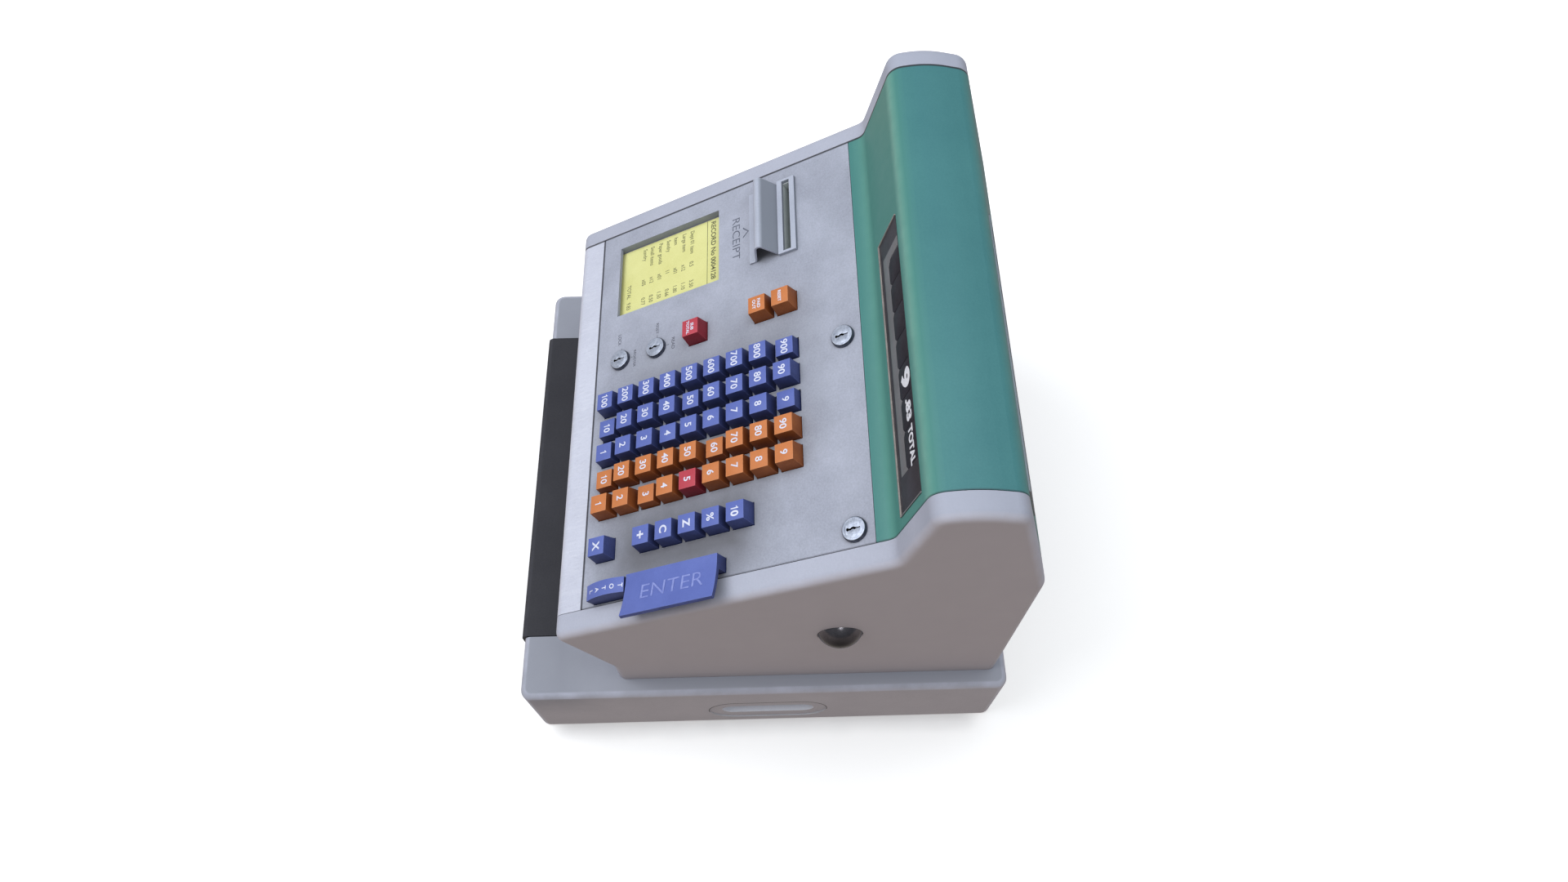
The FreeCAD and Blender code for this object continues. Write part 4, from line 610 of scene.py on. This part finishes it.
def letters(text, height, weight, depth=INK_HALF, width=None, squeeze=1.0):
    """Raised lettering, centred on its own box: height is that of a capital, depth goes both ways."""
    curve = bpy.data.curves.new("letters", "FONT")
    curve.body, curve.size = text, height / CAPITAL_SHARE
    curve.align_x, curve.space_line = "CENTER", LINE_GAP * CAPITAL_SHARE
    curve.extrude, curve.offset, curve.resolution_u = depth, weight, LETTER_STEPS
    shape = curve_mesh(curve)
    xs = [vert.co.x for vert in shape.verts]
    ys = [vert.co.y for vert in shape.verts]
    share = squeeze if width is None else width / (max(xs) - min(xs))
    bmesh.ops.translate(shape, verts=shape.verts, vec=(-(max(xs) + min(xs)) / 2, -(max(ys) + min(ys)) / 2, 0))
    bmesh.ops.scale(shape, verts=shape.verts, vec=(share, 1, 1))
    return shape


def ink_plate(outline, level=0.0, half=INK_HALF):
    """A printed shape, as thin as the lettering."""
    return plate(outline, level - half, level + half, INK_EDGE)


def at(x, along, above=0.0):
    return Matrix.Translation((x, along, above))


def add_piece(name, shape, place, materials, body="housing", replaces=()):
    """Make a piece of a shape, put it in place and let it ride on a body."""
    mesh = mesh_of(shape, name)
    mesh.transform(place)
    for material in materials:
        mesh.materials.append(material)
    mesh.shade_smooth()
    mesh.set_sharp_from_angle(angle=SMOOTH_ANGLE)
    piece = new_object(name, mesh)
    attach(piece, body)
    if replaces:
        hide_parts(*replaces)


# Keys

KEY_PITCH, FIRST_ROW = 19.05, 18.9
COLUMN_X = (4.68, 25.91, 47.14, 68.37, 89.6)
COLUMN_ZEROS = ("00", "0", "", "0", "")
RIGHT_X, LEFT_X = 122.5, -35.3
KEY_BASE, KEY_TOP, KEY_HEIGHT, KEY_SINK = 16.3, 13.6, 11.5, 1.5
KEY_DOWN, KEY_HALF_DOWN = 4.7, 2.3
KEY_EDGE, STEM_EDGE = 0.28, 0.3
STEM_WIDTH, STEM_THICK, STEM_REACH, STEM_HOLD = 8.0, 2.4, 34.0, 0.2
# (digit, column) of the keys that stand low
LOW_KEYS = {**dict.fromkeys([(9, 1), (1, 2), (9, 3), (1, 4), (6, 4), (3, 5)], KEY_DOWN),
            **dict.fromkeys([(5, 2), (1, 3), (4, 3)], KEY_HALF_DOWN)}
# the key finishes, then their copies with painted shade for the steep faces
KEY_FINISHES = [blue_plastic, orange_plastic, red_plastic, steel, blue_shaded_sides, orange_shaded_sides, red_shaded_sides]
BLUE, ORANGE, RED, STEEL = range(4)
TO_SHADED_SIDES = 4
FIRST_ORANGE_COLUMN, RED_AMOUNT_KEY = 4, (5, 5)
FIGURE_HEIGHT, FIGURE_WEIGHT, FIGURE_SQUEEZE, WORD_SQUEEZE, FIGURE_RISE = 5.5, 0.12, 1.04, 1.05, 0.03
FIGURE_CELL = 0.72
# the 1 with its flag, in shares of its height
FLAGGED_ONE = [(0.015, -0.5), (0.165, -0.5), (0.165, 0.5), (0.055, 0.5), (0.015, 0.4), (-0.065, 0.34),
               (-0.165, 0.31), (-0.165, 0.2), (0.015, 0.22)]


def row_along(row):
    return FIRST_ROW + KEY_PITCH * row


def key_stem(x, along, drop=0.0):
    low, high = -STEM_REACH - drop, -KEY_SINK - drop + STEM_HOLD
    stem = prism(box_outline(x, along, STEM_WIDTH, STEM_THICK), 2, low, high)
    bevel_sharp(stem, STEM_EDGE, 1)
    return stem


def key_cap():
    """A tapered cap with crisp, slightly eased edges."""
    cap = loft([[(x, y, level) for x, y in box_outline(0, 0, width, width)]
                for width, level in ((KEY_BASE, -KEY_SINK), (KEY_TOP, KEY_HEIGHT))])
    bevel_sharp(cap, KEY_EDGE, wanted=lambda edge: max(vert.co.z for vert in edge.verts) > 0)
    return cap


def colour_key(cap, colour):
    """The key's colour on top, and its copy with painted shade on the steep faces."""
    cap.normal_update()
    for face in cap.faces:
        face.material_index = colour if face.normal.z > TOP else colour + TO_SHADED_SIDES
    return cap


def add_key(shape, x, along, colour, drop=0.0):
    merge(shape, colour_key(key_cap(), colour), at(x, along, -drop))
    merge(shape, key_stem(x, along, drop), None, STEEL)


def number(text, height, weight):
    """A number set figure by figure in equal cells, about its middle."""
    shape = bmesh.new()
    for i, sign in enumerate(text):
        if sign == "1":
            figure = ink_plate([(x * height, y * height) for x, y in FLAGGED_ONE])
        else:
            figure = letters(sign, height, weight, squeeze=FIGURE_SQUEEZE)
        merge(shape, figure, at((i - (len(text) - 1) / 2) * FIGURE_CELL * height, 0))
    return shape


def key_figures(text, x, along, drop=0.0, height=FIGURE_HEIGHT, weight=FIGURE_WEIGHT):
    if text.isdigit():
        shape = number(text, height, weight)
    else:
        shape = letters(text, height, weight, squeeze=WORD_SQUEEZE)
    bmesh.ops.transform(shape, matrix=at(x, along, KEY_HEIGHT - drop + FIGURE_RISE), verts=shape.verts)
    return shape


def make_amount_keys():
    for digit in range(1, 10):
        caps, figures = bmesh.new(), bmesh.new()
        along = row_along(digit - 1)
        for column, (x, zeros) in enumerate(zip(COLUMN_X, COLUMN_ZEROS), start=1):
            drop = LOW_KEYS.get((digit, column), 0.0)
            colour = BLUE if column < FIRST_ORANGE_COLUMN else ORANGE
            if (digit, column) == RED_AMOUNT_KEY:
                colour = RED
            add_key(caps, x, along, colour, drop)
            merge(figures, key_figures(str(digit) + zeros, x, along, drop))
        body = "digit_%d_keys" % digit
        add_piece("digit_%d_caps" % digit, caps, PANEL, KEY_FINISHES, body, [body])
        add_piece("digit_%d_figures" % digit, figures, PANEL, [figure_ink], body)


BOLD, MIDDLING, LIGHT = 0.26, 0.15, 0.1
# legend, across, row, colour, height of a capital, weight
SINGLE_KEYS = {
    "multiply_key": ("X", RIGHT_X, 0, BLUE, 5.8, BOLD), "plus_key": ("+", RIGHT_X, 2, BLUE, 7.6, BOLD),
    "clear_key": ("C", RIGHT_X, 3, BLUE, 5.8, BOLD), "z_key": ("Z", RIGHT_X, 4, BLUE, 5.8, BOLD),
    "percent_key": ("%", RIGHT_X, 5, BLUE, 5.8, MIDDLING), "ten_key": ("10", RIGHT_X, 6, BLUE, 5.8, BOLD),
    "subtotal_key": ("SUB\nTOTAL", LEFT_X, 4, RED, 2.5, LIGHT),
    "paid_out_key": ("PAID\nOUT", LEFT_X, 7, ORANGE, 2.6, LIGHT),
    "reset_key": ("RESET", LEFT_X, 8, ORANGE, 2.5, LIGHT)}


def make_single_keys():
    for name, (text, x, row, colour, height, weight) in SINGLE_KEYS.items():
        cap = bmesh.new()
        add_key(cap, x, row_along(row), colour)
        add_piece(name + "_cap", cap, PANEL, KEY_FINISHES, name, [name])
        legend = key_figures(text, x, row_along(row), 0.0, height, weight)
        add_piece(name + "_legend", legend, PANEL, [figure_ink], name)


TOTAL_LEFT, TOTAL_RIGHT, TOTAL_FRONT, TOTAL_BACK = 150.0, 161.2, 11.2, 44.6
TOTAL_HEIGHTS, TOTAL_STEPS = (8.5, 13.2, 11.0), 14
TOTAL_STEM = (155.6, 27.9)
TOTAL_LETTER_HEIGHT, TOTAL_LETTER_X, TOTAL_LETTER_START, TOTAL_LETTER_PITCH = 3.4, 6.1, 5.6, 6.35
ENTER_LEFT, ENTER_RIGHT, ENTER_LIP, ENTER_FRONT, ENTER_BACK = 149.2, 159.5, 180.4, 46.3, 119.5
ENTER_HEIGHTS, ENTER_STEPS, ENTER_UNDER_STEPS = (11.0, 12.5, 17.2), 20, 14
ENTER_THICK = 3.0
ENTER_STEMS = ((154.35, 64.6), (154.35, 101.2))
ENTER_SIGN_HEIGHT, ENTER_SIGN_WIDTH, ENTER_SIGN_WEIGHT, ENTER_SIGN_HALF = 11.0, 49.5, -0.12, 0.09
ENTER_SIGN_X, ENTER_SIGN_ALONG = 164.9, 85.3
BAR_EDGE = 0.35


def curve_over(start, end, heights):
    """Middle, level and radius of the circle through three heights: at the start, halfway and at the end."""
    first, second, third = map(complex, (start, (start + end) / 2, end), heights)
    share = (third - first) / (second - first)
    centre = first + (second - first) * (share - abs(share) ** 2) / (2j * share.imag)
    return centre.real, centre.imag, abs(first - centre)


TOTAL_CROWN = curve_over(TOTAL_FRONT, TOTAL_BACK, TOTAL_HEIGHTS)
ENTER_DISH = curve_over(ENTER_LEFT, ENTER_LIP, ENTER_HEIGHTS)


def total_height(along):
    middle, level, radius = TOTAL_CROWN
    return level + sqrt(radius**2 - (along - middle) ** 2)


def enter_height(x, deeper=0.0):
    middle, level, radius = ENTER_DISH
    return level - sqrt((radius + deeper) ** 2 - (x - middle) ** 2)


def add_bar(name, outline, axis, low, high, stems, body):
    """A broad key drawn out along an axis, on its stems."""
    bar = prism(outline, axis, low, high)
    bevel_sharp(bar, BAR_EDGE)
    shape = bmesh.new()
    merge(shape, colour_key(bar, BLUE))
    for spot in stems:
        merge(shape, key_stem(*spot), None, STEEL)
    add_piece(name, shape, PANEL, KEY_FINISHES, body, [body])


def make_total_key():
    crown = [(along, total_height(along)) for along in steps(TOTAL_FRONT, TOTAL_BACK, TOTAL_STEPS)]
    outline = crown + [(TOTAL_BACK, -KEY_SINK), (TOTAL_FRONT, -KEY_SINK)]
    add_bar("total_key_cap", outline, 0, TOTAL_LEFT, TOTAL_RIGHT, [TOTAL_STEM], "total_key")
    legend = bmesh.new()
    for i, letter in enumerate("LATOT"):
        along = TOTAL_FRONT + TOTAL_LETTER_START + TOTAL_LETTER_PITCH * i
        sign = letters(letter, TOTAL_LETTER_HEIGHT, LIGHT)
        for vert in sign.verts:
            spot = along + vert.co.y
            x = TOTAL_LEFT + TOTAL_LETTER_X + vert.co.x
            vert.co = (x, spot, total_height(spot) + vert.co.z + FIGURE_RISE)
        merge(legend, sign)
    add_piece("total_key_legend", legend, PANEL, [figure_ink], "total_key")


def make_enter_bar():
    top = [(x, enter_height(x)) for x in steps(ENTER_LEFT, ENTER_LIP, ENTER_STEPS)]
    middle, _, radius = ENTER_DISH
    nose = middle + (ENTER_LIP - middle) * ((radius + ENTER_THICK) / radius)
    under = [(x, enter_height(x, ENTER_THICK)) for x in steps(nose, ENTER_RIGHT, ENTER_UNDER_STEPS)]
    outline = top + under + [(ENTER_RIGHT, -KEY_SINK), (ENTER_LEFT, -KEY_SINK)]
    add_bar("enter_bar_paddle", outline, 1, ENTER_FRONT, ENTER_BACK, ENTER_STEMS, "enter_bar")
    sign = letters("ENTER", ENTER_SIGN_HEIGHT, ENTER_SIGN_WEIGHT, ENTER_SIGN_HALF, ENTER_SIGN_WIDTH)
    for vert in sign.verts:
        x, along = ENTER_SIGN_X - vert.co.y, ENTER_SIGN_ALONG + vert.co.x
        vert.co = (x, along, enter_height(x) + vert.co.z)
    add_piece("enter_bar_legend", sign, PANEL, [enter_ink], "enter_bar")


# Locks

LOCKS = {"register_lock": (LEFT_X, 23.5), "reset_lock": (LEFT_X, 57.2), "left_cover_lock": (8.0, 214.0),
         "right_cover_lock": (150.9, 214.0)}
LOCK_RING = [(6.52, 0.0), (6.52, 2.98), (7.4, 3.0), (7.8, 2.86), (8.3, 2.2), (8.5, 1.5), (8.5, 0.0),
             (6.52, 0.0)]
PLUG_RADIUS, PLUG_RISE, PLUG_DEPTH, KEYWAY_FLOOR = 6.5, 2.98, -14.0, -1.1
# the warded keyway, along the slope from its front end, and how far it is stretched across and along
KEYWAY = [(-4.2, 0.3), (-3.9, 0.75), (-3.2, 0.75), (-2.9, 0.35), (-1.6, 0.25), (-1.0, 0.75), (0.2, 0.95),
          (0.9, 0.55), (1.5, 0.45), (1.9, 0.25), (3.2, 0.2), (3.5, 0.4), (3.9, 0.4), (4.2, 0.1), (4.0, -0.2),
          (3.3, -0.25), (1.9, -0.2), (1.4, -0.55), (0.5, -0.6), (0.0, -0.25), (-0.9, -0.35), (-1.5, -0.75),
          (-2.8, -0.75), (-3.4, -1.0), (-3.9, -0.8), (-4.3, -0.3)]
KEYWAY_ACROSS, KEYWAY_ALONG, KEYWAY_EDGE, RIM_WIDTH = -1.3, 1.15, 0.02, 1.0
# finish places: the bright face, then the dark finish that paints shade
BRIGHT, SHADED = 0, 1


def make_locks():
    rings = bmesh.new()
    keyway = [(KEYWAY_ACROSS * b, KEYWAY_ALONG * a) for a, b in KEYWAY]
    for name, (x, along) in LOCKS.items():
        merge(rings, turned(LOCK_RING), at(x, along))
        face = plate(circle(PLUG_RADIUS), KEYWAY_FLOOR, PLUG_RISE, KEYWAY_EDGE, [keyway])
        # the keyway's walls and the plug's end below them take the black of painted shade
        for wall in face.faces:
            middle = wall.calc_center_median()
            if abs(wall.normal.z) < WALL and hypot(middle.x, middle.y) < PLUG_RADIUS - RIM_WIDTH:
                wall.material_index = SHADED
        barrel = turned([(PLUG_RADIUS, PLUG_DEPTH), (PLUG_RADIUS, KEYWAY_FLOOR)])
        for end in barrel.faces:
            if end.normal.z > TOP:
                end.material_index = SHADED
        plug = bmesh.new()
        merge(plug, face)
        merge(plug, barrel)
        bmesh.ops.translate(plug, verts=plug.verts, vec=(x, along, 0))
        body = name + "_plug"
        add_piece(name + "_face", plug, PANEL, [lock_face, keyway_shade], body, [body])
    # the rings' flat tops take the face finish, their rounded edges dark metal with painted shade
    for face in rings.faces:
        face.material_index = BRIGHT if face.normal.z > FLAT_TOP else SHADED
    add_piece("lock_bezels", rings, PANEL, [lock_face, lock_rim_shade], "housing", ["lock_rings"])


# Lettering on the key panel: text, across, along, height and width, then ticks with their width and length

LEGENDS = [("LOCK", -55.0, 21.2, 3.0, 10.0), ("REGISTER", -33.4, 36.5, 2.3, 15.0),
           ("RESET", -53.6, 57.2, 2.4, 9.6), ("READ", LEFT_X, 72.4, 3.0, 10.2)]
TICKS = [(-45.4, 23.5, 1.6, 0.4), (LEFT_X, 33.7, 0.4, 1.6), (-46.2, 57.2, 2.6, 0.4), (LEFT_X, 67.6, 0.4, 2.2)]
RECEIPT_SIGN, RECEIPT_WEIGHT = ("RECEIPT", -111.1, 128.9, 7.0, 39.4), -0.02
CARET = [(-119.6, 135.0), (-118.2, 135.0), (-114.4, 138.9), (-110.6, 135.0), (-109.2, 135.0), (-114.4, 140.3)]


def make_panel_lettering():
    legends, receipt = bmesh.new(), bmesh.new()
    for shape, weight, signs in ((legends, 0.0, LEGENDS), (receipt, RECEIPT_WEIGHT, [RECEIPT_SIGN])):
        for text, x, along, height, width in signs:
            merge(shape, letters(text, height, weight, width=width), at(x, along))
    for tick in TICKS:
        merge(legends, ink_plate(box_outline(*tick)))
    add_piece("lock_legends", legends, PANEL, [legend_ink])
    merge(receipt, ink_plate(CARET))
    add_piece("receipt_legend", receipt, PANEL, [receipt_ink])


# Chute under the receipt slot

CHUTE_X, CHUTE_ALONG, CHUTE_WIDTH, CHUTE_LENGTH = -114.45, 174.2, 65.4, 8.4
CHUTE_WALL, CHUTE_TOP, CHUTE_BOTTOM, CHUTE_EDGE = 0.9, -0.05, -15.0, 0.1


def make_receipt_chute():
    outer, inner = (box_outline(CHUTE_X, CHUTE_ALONG, CHUTE_WIDTH - less, CHUTE_LENGTH - less)
                    for less in (0.0, 2 * CHUTE_WALL))
    chute = plate(outer, CHUTE_BOTTOM, CHUTE_TOP, CHUTE_EDGE, [inner])
    merge(chute, plate(outer, CHUTE_BOTTOM - CHUTE_WALL, CHUTE_BOTTOM, CHUTE_EDGE))
    add_piece("receipt_chute", chute, PANEL, [chute_grey])


# Journal print

PAPER_TOP, PAPER_INK_HALF = -6.6, 0.04
JOURNAL_HEAD, HEAD_HEIGHT, HEAD_WEIGHT, HEAD_SQUEEZE = ("RECORD No 0004128", -143.4, 103.9), 4.4, 0.14, 1.0
JOURNAL_RULE = (-145.6, 98.0, -79.8, 98.5)
JOURNAL_LINES = [("Dept 01 item", "0.5", "3.50"), ("Large item", "x12", "1.10"), ("Item", "x01", "1.80"),
                 ("Sundry", "11", "0.66"), ("Paper goods", "x01", "1.50"), ("Small items", "x12", "0.50"),
                 ("Sundry", "x05", "0.77")]
JOURNAL_COLUMNS = (-142.0, -112.0, -94.0)
JOURNAL_SUM, SUM_COLUMNS, SUM_ALONG = ("TOTAL", "9.83"), (-111.0, -94.0), 22.8
LINE_HEIGHT, LINE_WEIGHT, LINE_SQUEEZE, FIRST_LINE, LINE_PITCH = 3.8, 0.04, 0.8, 83.3, 7.7


def make_journal_print():
    print_lines = bmesh.new()

    def write(text, left, along, height=LINE_HEIGHT, weight=LINE_WEIGHT, squeeze=LINE_SQUEEZE):
        words = letters(text, height, weight, PAPER_INK_HALF, squeeze=squeeze)
        start = min(vert.co.x for vert in words.verts)
        merge(print_lines, words, at(left - start, along, PAPER_TOP))

    write(*JOURNAL_HEAD, HEAD_HEIGHT, HEAD_WEIGHT, HEAD_SQUEEZE)
    merge(print_lines, ink_plate(rectangle(*JOURNAL_RULE), PAPER_TOP, PAPER_INK_HALF))
    for i, row in enumerate(JOURNAL_LINES):
        for text, left in zip(row, JOURNAL_COLUMNS):
            write(text, left, FIRST_LINE - LINE_PITCH * i)
    for text, left in zip(JOURNAL_SUM, SUM_COLUMNS):
        write(text, left, SUM_ALONG)
    add_piece("journal_print", print_lines, PANEL, [print_ink])


# Indicator on the front of the hood, and the customer's on its back

BEZEL_LEFT, BEZEL_RIGHT, BEZEL_LOW, BEZEL_HIGH = -46.6, 155.0, 14.1, 50.4
BEZEL_BACK, BEZEL_FIELD, BAR_LEVEL, TILE_LEVEL, RIM_LEVEL, SIDE_RIM_LEVEL = -3.3, 0.2, 0.4, 0.5, 0.9, 0.6
SUNK_LEVEL = -0.1
FIELD_EDGE, RIM_EDGE, PANE_EDGE = 0.05, 0.1, 0.08
BORDER_WIDTH, LOW_BORDER, FIELD_TOP, TOP_BORDER = 0.8, 1.4, 50.3, 50.1
TILE_EDGES = (-20.1, -1.0, 20.8, 42.2, 63.3, 85.8, 107.4, 132.2)
TILE_LOW, TILE_HIGH, TILE_CHAMFER, TILE_GAP = 31.4, 50.0, 2.4, 0.5
BAR_LEFT, BAR_INNER, BAR_LOW, BAR_HIGH, BAR_RIGHT = -29.4, -21.6, 21.5, 33.6, 132.0
RIDGE = (-37.0, 17.6, 153.0, 18.4)
INDICATOR_FINISHES = [bezel_dark, bezel_border, tile_bar, tile_dark, customer_border]
FIELD, BORDER, BAR, TILE, TOP_STRIP = range(5)
# text, across, along, height, width, weight
INDICATED = [("9", 74.8, 42.8, 13.6, 13.2, 0.9), (".83", 96.2, 43.4, 8.0, 15.6, 0.5),
             ("TOTAL", 120.4, 43.2, 7.2, 25.6, 0.4)]
CUSTOMER_INDICATED = [("TOTAL", -119.8, 43.2, 7.2, 22.0, 0.4), ("9", -9.9, 42.8, 13.6, 13.2, 0.9),
                      (".83", 10.6, 43.4, 8.0, 15.6, 0.5)]
PANE_INK_HALF, PANE_INK_RISE = 0.06, 0.02


def make_indicator(name, place, node, about_face, figures, rim_finish):
    """A bezel with its panes, bars and figures; all but the figures is mirrored where it faces about."""
    shape = bmesh.new()

    def lay(points, low, high, edge, finish_index):
        points = [(-x, y) for x, y in points] if about_face else points
        merge(shape, plate(points, low, high, edge), None, finish_index)

    low_inside, left_inside = BEZEL_LOW + LOW_BORDER, BEZEL_LEFT + BORDER_WIDTH
    lay(rectangle(BEZEL_LEFT, BEZEL_LOW, BEZEL_RIGHT, FIELD_TOP), BEZEL_BACK, BEZEL_FIELD, FIELD_EDGE, FIELD)
    lay([(BEZEL_LEFT, BEZEL_HIGH), (BEZEL_LEFT, BEZEL_LOW), (BEZEL_RIGHT, BEZEL_LOW),
         (BEZEL_RIGHT, low_inside), (left_inside, low_inside), (left_inside, BEZEL_HIGH)],
        BEZEL_BACK, RIM_LEVEL, RIM_EDGE, rim_finish)
    lay(rectangle(BEZEL_RIGHT - BORDER_WIDTH, low_inside, BEZEL_RIGHT, BEZEL_HIGH),
        BEZEL_BACK, SIDE_RIM_LEVEL, RIM_EDGE, BAR)
    lay([(BAR_LEFT, BAR_LOW), (BAR_RIGHT, BAR_LOW), (BAR_RIGHT, BAR_HIGH), (BAR_INNER, BAR_HIGH),
         (BAR_INNER, TILE_HIGH), (BAR_LEFT, TILE_HIGH)], SUNK_LEVEL, BAR_LEVEL, RIM_EDGE, BAR)
    lay(rectangle(*RIDGE), SUNK_LEVEL, BAR_LEVEL, PANE_EDGE, FIELD)
    for left, right in zip(TILE_EDGES, TILE_EDGES[1:]):
        left, right = left + TILE_GAP / 2, right - TILE_GAP / 2
        shoulder = TILE_LOW + TILE_CHAMFER
        lay([(left + TILE_CHAMFER, TILE_LOW), (right - TILE_CHAMFER, TILE_LOW), (right, shoulder),
             (right, TILE_HIGH), (left, TILE_HIGH), (left, shoulder)],
            SUNK_LEVEL, TILE_LEVEL, PANE_EDGE, TILE)
    if about_face:
        lay(rectangle(BEZEL_LEFT, TOP_BORDER, BEZEL_RIGHT, BEZEL_HIGH),
            BEZEL_BACK, RIM_LEVEL, RIM_EDGE, TOP_STRIP)
    bmesh.ops.recalc_face_normals(shape, faces=shape.faces)
    add_piece(name, shape, place, INDICATOR_FINISHES, "housing", [node])
    signs = bmesh.new()
    for text, x, along, height, width, weight in figures:
        sign = letters(text, height, weight, PANE_INK_HALF, width)
        merge(signs, sign, at(x, along, TILE_LEVEL + PANE_INK_RISE))
    add_piece(name + "_figures", signs, place, [white_ink])


# Dark line of painted shadow round the upper side of each hand grip

GRIP_LINE, GRIP_LINE_RISE = 0.7, 0.06
ARCH_START, ARCH_STEPS = -0.15, 12


def grip_arch(grown):
    """The upper part of the grip's round-ended outline, as (along Y, up) points from back to front."""
    radius = GRIP_STEP_HEIGHT / 2 + grown
    straight = (GRIP_STEP_LENGTH - GRIP_STEP_HEIGHT) / 2
    turns = steps(ARCH_START, pi / 2, ARCH_STEPS)
    back = [(straight + radius * cos(turn), radius * sin(turn)) for turn in turns]
    return back + [(-y, up) for y, up in reversed(back)]


def make_grip_lines():
    lines = bmesh.new()
    band = grip_arch(GRIP_LINE) + grip_arch(0.0)[::-1]
    outline = [(y + GRIP_MIDDLE[0], up + GRIP_MIDDLE[1]) for y, up in band]
    for face in (-BASE_HALF, BASE_HALF):
        merge(lines, prism(outline, 0, face - GRIP_LINE_RISE, face + GRIP_LINE_RISE))
    add_piece("grip_shadow_lines", lines, UPRIGHT, [grip_shadow])


# Feet under the base

FOOT_PROFILE, FOOT_SIDES = [(7.6, 0.0), (8.5, 0.35), (9.0, 1.2), (9.0, 3.0)], 40
FOOT_X, FOOT_Y = 161.25, 132.0


def make_feet():
    feet = bmesh.new()
    for x in (-FOOT_X, FOOT_X):
        for y in (-FOOT_Y, FOOT_Y):
            merge(feet, turned(FOOT_PROFILE, FOOT_SIDES), at(x, y))
    add_piece("moulded_feet", feet, UPRIGHT, [rubber], "housing", ["rubber_feet"])


# Floor, light and camera

FLOOR_RADIUS, FLOOR_SIDES = 9.0, 96
FLOOR_LOOK = {"Base Color": (0.9, 0.9, 0.9, 1), "Roughness": 0.9, "Specular IOR Level": 0.1}
FLOOR_GLOW = (1.0, 0.995, 0.985, 1)
# the floor's glow rises from low to high between these distances from its middle
GLOW_NEAR, GLOW_FAR, GLOW_LOW, GLOW_HIGH = 0.25, 1.2, 0.36, 1.0
contact_shadow = soft_patch((0, 0, 0), Middle=(BASE_HALF * MM, 0.0, 0.0), Half=(0.002, 0.17, 1.0), Fade=0.016,
                            Amount=0.6)
BOUNCE = {"Color": (1.0, 0.89, 0.83, 1), "Strength": 0.52}
WORLD_LIGHT = {"Color": (0.94, 0.96, 1.0, 1), "Strength": 0.26}
WORLD_SEEN = {"Color": (1, 1, 1, 1), "Strength": 0.95}
# place, size, power, colour
SOFTBOXES = {"side_light": ((1.5, 0.15, 1.75), 0.3, 2.5, (1.0, 0.98, 0.96)),
             "key_light": ((-0.1, -1.2, 2.1), 1.8, 31, (0.95, 0.97, 1.0)),
             "top_light": ((-0.2, 0.45, 2.35), 2.0, 21, (0.9, 0.96, 1.0))}
LIT_SPOT = Vector((0, 0, 0.2))
CAMERA_SPOT = (0.409085, 0.014141, 0.922594)
CAMERA_AZIMUTH, CAMERA_ELEVATION, CAMERA_ROLL = 1.094, 62.236, -0.428
CAMERA_LENS, CAMERA_SENSOR, CAMERA_NEAR = 24.444, 36.0, 0.01


def make_floor():
    shape = bmesh.new()
    bmesh.ops.create_circle(shape, cap_ends=True, segments=FLOOR_SIDES, radius=FLOOR_RADIUS)
    floor = new_object("floor", mesh_of(shape, "floor"))
    material = bpy.data.materials.new("pale_floor")
    material.use_nodes = True
    floor.data.materials.append(material)
    tree = Graph(material.node_tree)
    glow = tree.spread(tree.vector("LENGTH", tree.spot()), GLOW_NEAR, GLOW_FAR, GLOW_LOW, GLOW_HIGH)
    shader = tree.feed(tree.tree.nodes["Principled BSDF"], {
        **FLOOR_LOOK, "Emission Color": tree.lay(FLOOR_GLOW, [contact_shadow]), "Emission Strength": glow})
    tree.split_rays(tree.add("Emission", BOUNCE), shader, "Material Output")


def make_light():
    world = bpy.data.worlds.new("studio")
    world.use_nodes = True
    tree = Graph(world.node_tree)
    lit = tree.feed(tree.tree.nodes["Background"], WORLD_LIGHT)
    tree.split_rays(lit, tree.add("Background", WORLD_SEEN), "World Output")
    bpy.context.scene.world = world
    for name, (spot, size, power, colour) in SOFTBOXES.items():
        light = bpy.data.lights.new(name, "AREA")
        light.shape, light.size, light.energy, light.color = "DISK", size, power, colour
        thing = new_object(name, light)
        thing.location, thing.rotation_mode = spot, "QUATERNION"
        thing.rotation_quaternion = (LIT_SPOT - thing.location).to_track_quat("-Z", "Y")


def make_camera():
    turn, tilt, roll = (radians(angle) for angle in (CAMERA_AZIMUTH, CAMERA_ELEVATION, CAMERA_ROLL))
    ahead = Vector((-cos(tilt) * cos(turn), cos(tilt) * sin(turn), -sin(tilt)))
    view = bpy.data.cameras.new("camera")
    view.lens, view.sensor_width, view.clip_start = CAMERA_LENS, CAMERA_SENSOR, CAMERA_NEAR
    camera = new_object("camera", view)
    aimed = ahead.to_track_quat("-Z", "Y").to_matrix().to_4x4() @ Matrix.Rotation(roll, 4, "Z")
    camera.matrix_world = Matrix.Translation(CAMERA_SPOT) @ aimed
    bpy.context.scene.camera = camera


make_amount_keys()
make_single_keys()
make_total_key()
make_enter_bar()
make_locks()
make_panel_lettering()
make_receipt_chute()
make_journal_print()
make_indicator("indicator_face", HOOD_FRONT, "indicator_bezel", False, INDICATED, BORDER)
make_indicator("customer_face", HOOD_BACK, "customer_bezel", True, CUSTOMER_INDICATED, BAR)
make_grip_lines()
make_feet()
make_floor()
make_light()
make_camera()
bpy.context.scene.view_settings.view_transform = "Standard"
